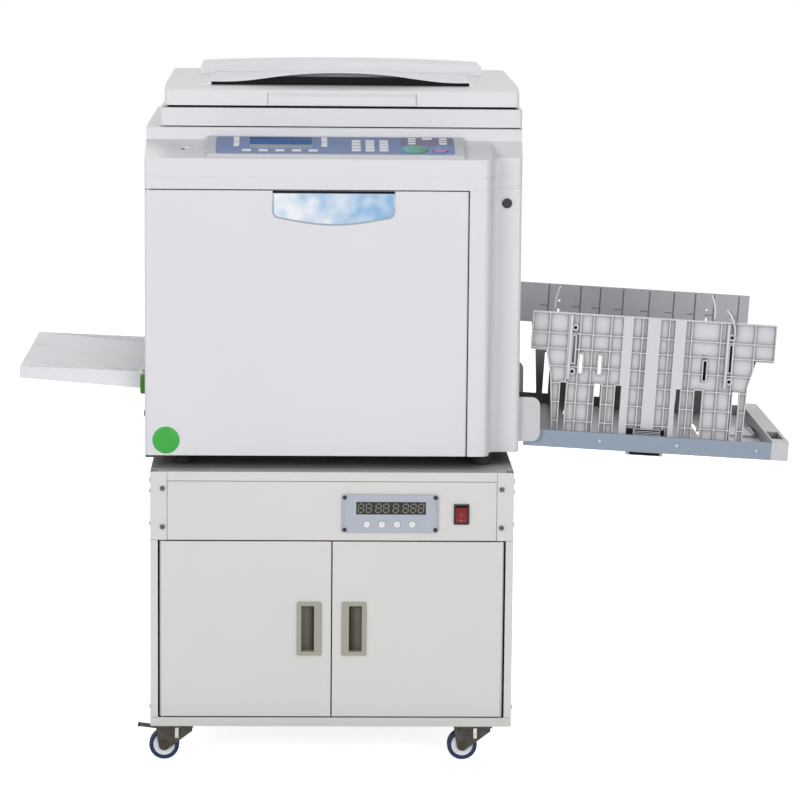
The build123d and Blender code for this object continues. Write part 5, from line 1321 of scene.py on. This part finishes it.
@dataclass
class ReceivingSide(SubAssembly):
    """The receiving tray with its fences, on the right. Places are along the tray (u) and above it (w)."""

    looks: ClassVar[Looks] = {
        DECK: ("receiving_tray",),
        RAIL: ("receiving_rail",),
        POD: ("tray_brackets",),
        TRAY: ("fence_front", "end_stop"),
        REAR_FENCE: ("fence_rear",),
    }
    edge: float = 0.4 * MM
    origin_x: float = 317.0 * MM
    origin_z: float = 520.0 * MM
    tilt: float = 3.3
    fence_face: float = -140.0 * MM
    rear_face: float = 232.0 * MM
    rail_face: float = -165.0 * MM
    rail_middle: float = 14.25 * MM
    links: Pair = mm(79.2, 344.2)
    bosses: tuple[Pair, ...] = (mm(79.6, 201), mm(78.8, 126.7), mm(344, 200), mm(344.4, 125))
    slots: tuple[Point, ...] = (mm(344.2, 129, 196), mm(300.5, 120, 168))
    seams: tuple[float, ...] = mm(60, 117, 152, 193, 240, 284, 322, 356, 400)
    rail_screws: tuple[float, ...] = mm(130.8, 261.6, 396.7)
    # The finger's spine, and how a rear hook bends out from its foot, in millimetres
    spine: tuple[Pair, ...] = ((334.0, 247.0), (340.0, 240.0), (345.5, 230.0), (349.0, 218.0), (350.0, 204.0))
    bend: tuple[Pair, ...] = ((0.0, 186.0), (0.5, 204.0), (3.5, 217.0), (7.5, 228.0))
    rear_hooks: Pair = (71.0, 358.0)
    clip_gaps: tuple[Pair, Pair] = (mm(179.0, 187.6), mm(236.4, 242.0))
    clip_bars: tuple[float, ...] = (27.4, 30.0, 32.6)

    def plane(self, y: float) -> Matrix:
        """Place a drawn plane at a depth on the tilted tray, facing the front."""
        turn = Matrix.Rotation(math.radians(self.tilt), 4, "Y") @ Matrix.Rotation(math.pi / 2, 4, "X")
        return Matrix.Translation((self.origin_x, y, self.origin_z)) @ turn

    def plate(
        self,
        name: str,
        outline: Outline,
        y: float,
        thickness: float,
        finish: Finish,
        edge: float = 0.0,
        body: str = "fence_front",
        slot: str = "tray_grey",
    ) -> Piece:
        """Model a flat piece that faces the front.

        Args:
            name: The piece's name.
            outline: Its corners along and above the tray.
            y: How deep its back lies.
            thickness: How thick it is.
            finish: Its finish.
            edge: How far its edges are rounded.
            body: The body that carries it.
            slot: Not used.

        Returns:
            The piece.
        """
        return seat(add_plate(name, outline, thickness, self.plane(y)), body, finish, edge)

    def model(self) -> None:
        """Model the front fence's details, the rear fence's seams, the rail's screws and the latch."""
        for side, u in zip(Side, self.links):
            outline = rounded((u - 9.0 * MM, 113 * MM), (u - 4.2 * MM, 222 * MM), 2.0 * MM)
            self.plate(f"fence_link_{side.word}", outline, self.fence_face, 1.6 * MM, TRAY, 0.5 * MM)
        for number, (u, low, high) in enumerate(self.slots):
            strip = rounded((u - 4.5 * MM, low), (u + 4.5 * MM, high), MM)
            self.plate(f"slot_shade_{number}", strip, self.fence_face + 5.6 * MM, 0.6 * MM, SLOT_DARK, 0.2 * MM)
        for number, place in enumerate(self.bosses):
            self.screw(f"fence_screw_{number}", place, self.fence_face - 0.6 * MM, 2.6 * MM, "fence_front", SLOT_DARK)
        self.hooks()
        self.grille()
        self.rear_seams()
        for number, u in enumerate(self.rail_screws):
            place = (u, self.rail_middle)
            self.screw(f"rail_screw_{number}", place, self.rail_face - 1.4 * MM, 3.4 * MM, "machine", RAIL_SCREW)
        # Painted shade: a dark plate in the mouth of the latch under the rail
        latch = rounded(mm(184, -6.2), mm(235, -1.4), MM)
        self.plate("latch_mouth", latch, -153.9 * MM, 0.4 * MM, SLOT_DARK, 0.1 * MM, "machine")

    def screw(self, name: str, place: Pair, y: float, radius: float, body: str, finish: Finish) -> None:
        """Model a low domed screw head with a cross recess.

        Args:
            name: Its name.
            place: Its place along the tray and above it.
            y: How deep its base lies.
            radius: Its radius.
            body: The body that carries it.
            finish: Its finish.
        """
        (u, w), long, wide = place, radius * 0.55, radius * 0.16
        outline = oval(place, radius, radius, 28)
        head = self.plate(name, outline, y, 1.1 * MM, finish, 0.45 * MM, body, "screw_zinc")
        for half_u, half_w in ((wide, long), (long, wide)):
            bar = rounded((u - half_u, w - half_w), (u + half_u, w + half_w), wide / 2)
            cut(head, add_plate("cross_cutter", bar, 2 * MM, self.plane(y - 0.6 * MM)))

    def hooks(self) -> None:
        """Model the curved finger on the right corner link with its shade, and the rear fence's two hooks."""
        spine = list(self.spine)
        finger = [mm(*corner) for corner in spine[::-1] + shifted(spine, -3.2, -1.6)]
        self.plate("fence_hook", finger, self.fence_face, 2.0 * MM, TRAY, 0.5 * MM)
        for side, u in zip(Side, self.rear_hooks):
            edge = [mm(u - side.value * out, w) for out, w in self.bend]
            hook = edge[::-1] + shifted(edge, 3.2 * MM, 0)
            place = self.rear_face + 1.0 * MM
            self.plate(f"rear_hook_{side.word}", hook, place, 1.6 * MM, WHITE_KEY, 0.3 * MM, "fence_rear")
        shade = [mm(*corner) for corner in shifted(spine, 1.4, 0.8)[::-1] + shifted(spine, 0.2, 0.2)]
        self.plate("hook_shade", shade, self.fence_face, 1.2 * MM, SEAM)

    def grille(self) -> None:
        """Model the clip at the fence's foot: painted shade behind and in its slots, crossed by three bars."""
        back = rounded(mm(191, 24.6), mm(233, 35.4), MM)
        self.plate("clip_grille", back, self.fence_face - 4.9 * MM, 0.3 * MM, SLOT_DARK)
        for side, (near, far) in zip(Side, self.clip_gaps):
            gap = rounded((near, 24 * MM), (far, 36 * MM), MM)
            self.plate(f"clip_gap_{side.word}", gap, self.fence_face, 0.4 * MM, SLOT_DARK, 0.1 * MM)
        for number, w in enumerate(self.clip_bars):
            bar = rounded(mm(190, w - 0.5), mm(234, w + 0.5), 0.3 * MM)
            self.plate(f"clip_bar_{number}", bar, self.fence_face - 5.1 * MM, 0.5 * MM, TRAY, 0.2 * MM)

    def rear_seams(self) -> None:
        """Model the shaded joint lines and ledges on the rear fence."""
        for number, u in enumerate(self.seams):
            seam = rounded((u - 0.9 * MM, 120 * MM), (u + 0.9 * MM, 228 * MM), 0.4 * MM)
            self.plate(f"rear_seam_{number}", seam, self.rear_face + 0.9 * MM, 0.5 * MM, SEAM, body="fence_rear")
            ledge = rounded((u - 15 * MM, 191 * MM), (u - 1.5 * MM, 192.6 * MM), 0.5 * MM)
            self.plate(f"rear_ledge_{number}", ledge, self.rear_face, 0.7 * MM, SEAM, 0.2 * MM, "fence_rear")


@dataclass
class PrintWorks(SubAssembly):
    """The drum, rollers and chassis inside the body."""

    looks: ClassVar[Looks] = {
        CHASSIS: ("chassis_plates",),
        SCREEN: ("print_drum",),
        DRUM_BLUE: ("drum_frame",),
        BLACK: ("ink_bottle",),
        ROLLER: ("pressure_roller", "pickup_roller"),
    }


@dataclass(frozen=True)
class Studio:
    """The floor, the lights and the camera."""

    eye: Point = (-0.061, -5.973, 1.469)
    yaw: float = -1.72
    pitch: float = 8.55
    roll: float = 0.53
    focal_px: float = 3510.0
    frame_px: float = 800.0
    sensor_mm: float = 36.0
    mirrored_share: float = 0.75
    floor_side: float = 400.0
    floor_grey: float = 0.8
    floor_glow: float = 0.82
    sky_level: float = 0.22

    def build(self) -> None:
        """Set up the whole studio."""
        bpy.context.scene.view_settings.view_transform = "Standard"
        self.floor()
        self.world()
        self.lamp("key_lamp", (-3.8, -5.6, 2.7), 0.7, 3.0, 180)
        self.lamp("fill_lamp", (2.8, -6.3, 2.3), 0.7, 3.2, 158)
        self.lamp("top_lamp", (0.2, 2.4, 4.4), 0.9, 2.8, 66)
        self.lamp("rear_lamp_left", (-4.2, 3.4, 2.0), 0.7, 2.6, 60)
        self.lamp("rear_lamp_right", (4.2, 3.4, 2.0), 0.7, 2.6, 60)
        self.camera()

    def straight(self, tree: Tree) -> Node:
        """Tell how much of the bright background a ray gets: all of it for the camera, part of it for reflections.

        Args:
            tree: The node tree.

        Returns:
            The node that holds the share.
        """
        seen = add_node(tree, "ShaderNodeLightPath").outputs
        mirrored = {0: seen["Is Glossy Ray"], 1: self.mirrored_share}
        share = add_node(tree, "ShaderNodeMath", mirrored, operation="MULTIPLY")
        for ray in ("Is Camera Ray", "Is Transmission Ray"):
            share = add_node(tree, "ShaderNodeMath", {0: share.outputs[0], 1: seen[ray]}, operation="MAXIMUM")
        return share

    def floor(self) -> None:
        """Lay a pale floor that shows white to the camera and still takes the object's shadow."""
        choose_none()
        bpy.ops.mesh.primitive_plane_add(size=self.floor_side, location=(0, 0, 0))
        floor = new_piece("floor")
        paint = bpy.data.materials.new("floor_white")
        paint.use_nodes = True
        tree = paint.node_tree
        tree.nodes.clear()
        matt = add_node(tree, "ShaderNodeBsdfDiffuse", {"Color": (*(self.floor_grey,) * 3, 1)})
        both = {0: self.straight(tree).outputs[0], 1: self.floor_glow}
        level = add_node(tree, "ShaderNodeMath", both, operation="MULTIPLY")
        glow = add_node(tree, "ShaderNodeEmission", {"Color": WHITE, "Strength": level.outputs[0]})
        total = add_node(tree, "ShaderNodeAddShader", {0: matt.outputs[0], 1: glow.outputs[0]})
        add_node(tree, "ShaderNodeOutputMaterial", {"Surface": total.outputs[0]})
        floor.data.materials.append(paint)

    def world(self) -> None:
        """Light the object evenly from all round, and show white to the camera."""
        world = bpy.data.worlds.new("studio")
        bpy.context.scene.world = world
        world.use_nodes = True
        tree = world.node_tree
        tree.nodes.clear()
        share = {"Value": self.straight(tree).outputs[0], "To Min": self.sky_level, "To Max": 1.0}
        level = add_node(tree, "ShaderNodeMapRange", share)
        sky = add_node(tree, "ShaderNodeBackground", {"Color": WHITE, "Strength": level.outputs["Result"]})
        add_node(tree, "ShaderNodeOutputWorld", {"Surface": sky.outputs[0]})

    def lamp(self, name: str, place: Point, height: float, size: float, power: float) -> None:
        """Hang one soft lamp that points at the object's middle.

        Args:
            name: Its name.
            place: Where it hangs.
            height: How high above the floor it points.
            size: The side of its square face.
            power: Its power in watts.
        """
        light = bpy.data.lights.new(name, "AREA")
        light.energy = power
        light.size = size
        lamp = bpy.data.objects.new(name, light)
        lamp.location = place
        lamp.rotation_euler = (Vector((0, 0, height)) - Vector(place)).to_track_quat("-Z", "Y").to_euler()
        bpy.context.scene.collection.objects.link(lamp)

    def camera(self) -> None:
        """Place the camera where the photograph was taken from."""
        yaw, pitch, roll = (math.radians(a) for a in (self.yaw, self.pitch, self.roll))
        ahead = Vector((-math.sin(yaw) * math.cos(pitch), math.cos(yaw) * math.cos(pitch), -math.sin(pitch)))
        level = Vector((math.cos(yaw), math.sin(yaw), 0))
        above = level.cross(ahead)
        right = math.cos(roll) * level + math.sin(roll) * above
        up = -math.sin(roll) * level + math.cos(roll) * above
        lens = bpy.data.cameras.new("camera")
        lens.lens = self.focal_px / self.frame_px * self.sensor_mm
        lens.sensor_width = self.sensor_mm
        camera = bpy.data.objects.new("camera", lens)
        camera.matrix_world = Matrix.Translation(self.eye) @ Matrix((right, up, -ahead)).transposed().to_4x4()
        bpy.context.scene.collection.objects.link(camera)
        bpy.context.scene.camera = camera


GROUPS: tuple[type[SubAssembly], ...] = (
    Cabinet,
    CounterUnit,
    PowerSwitch,
    Casters,
    Shells,
    OperationPanel,
    FeedSide,
    ReceivingSide,
    PrintWorks,
)


def main() -> None:
    """Load the frame, dress every sub-assembly and set up the studio."""
    logging.basicConfig(level=logging.INFO, format="%(message)s")
    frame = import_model()
    for group in GROUPS:
        log.info("building %s", group.__name__)
        group(frame["nodes"]).build()
    Studio().build()


if __name__ == "__main__":
    main()
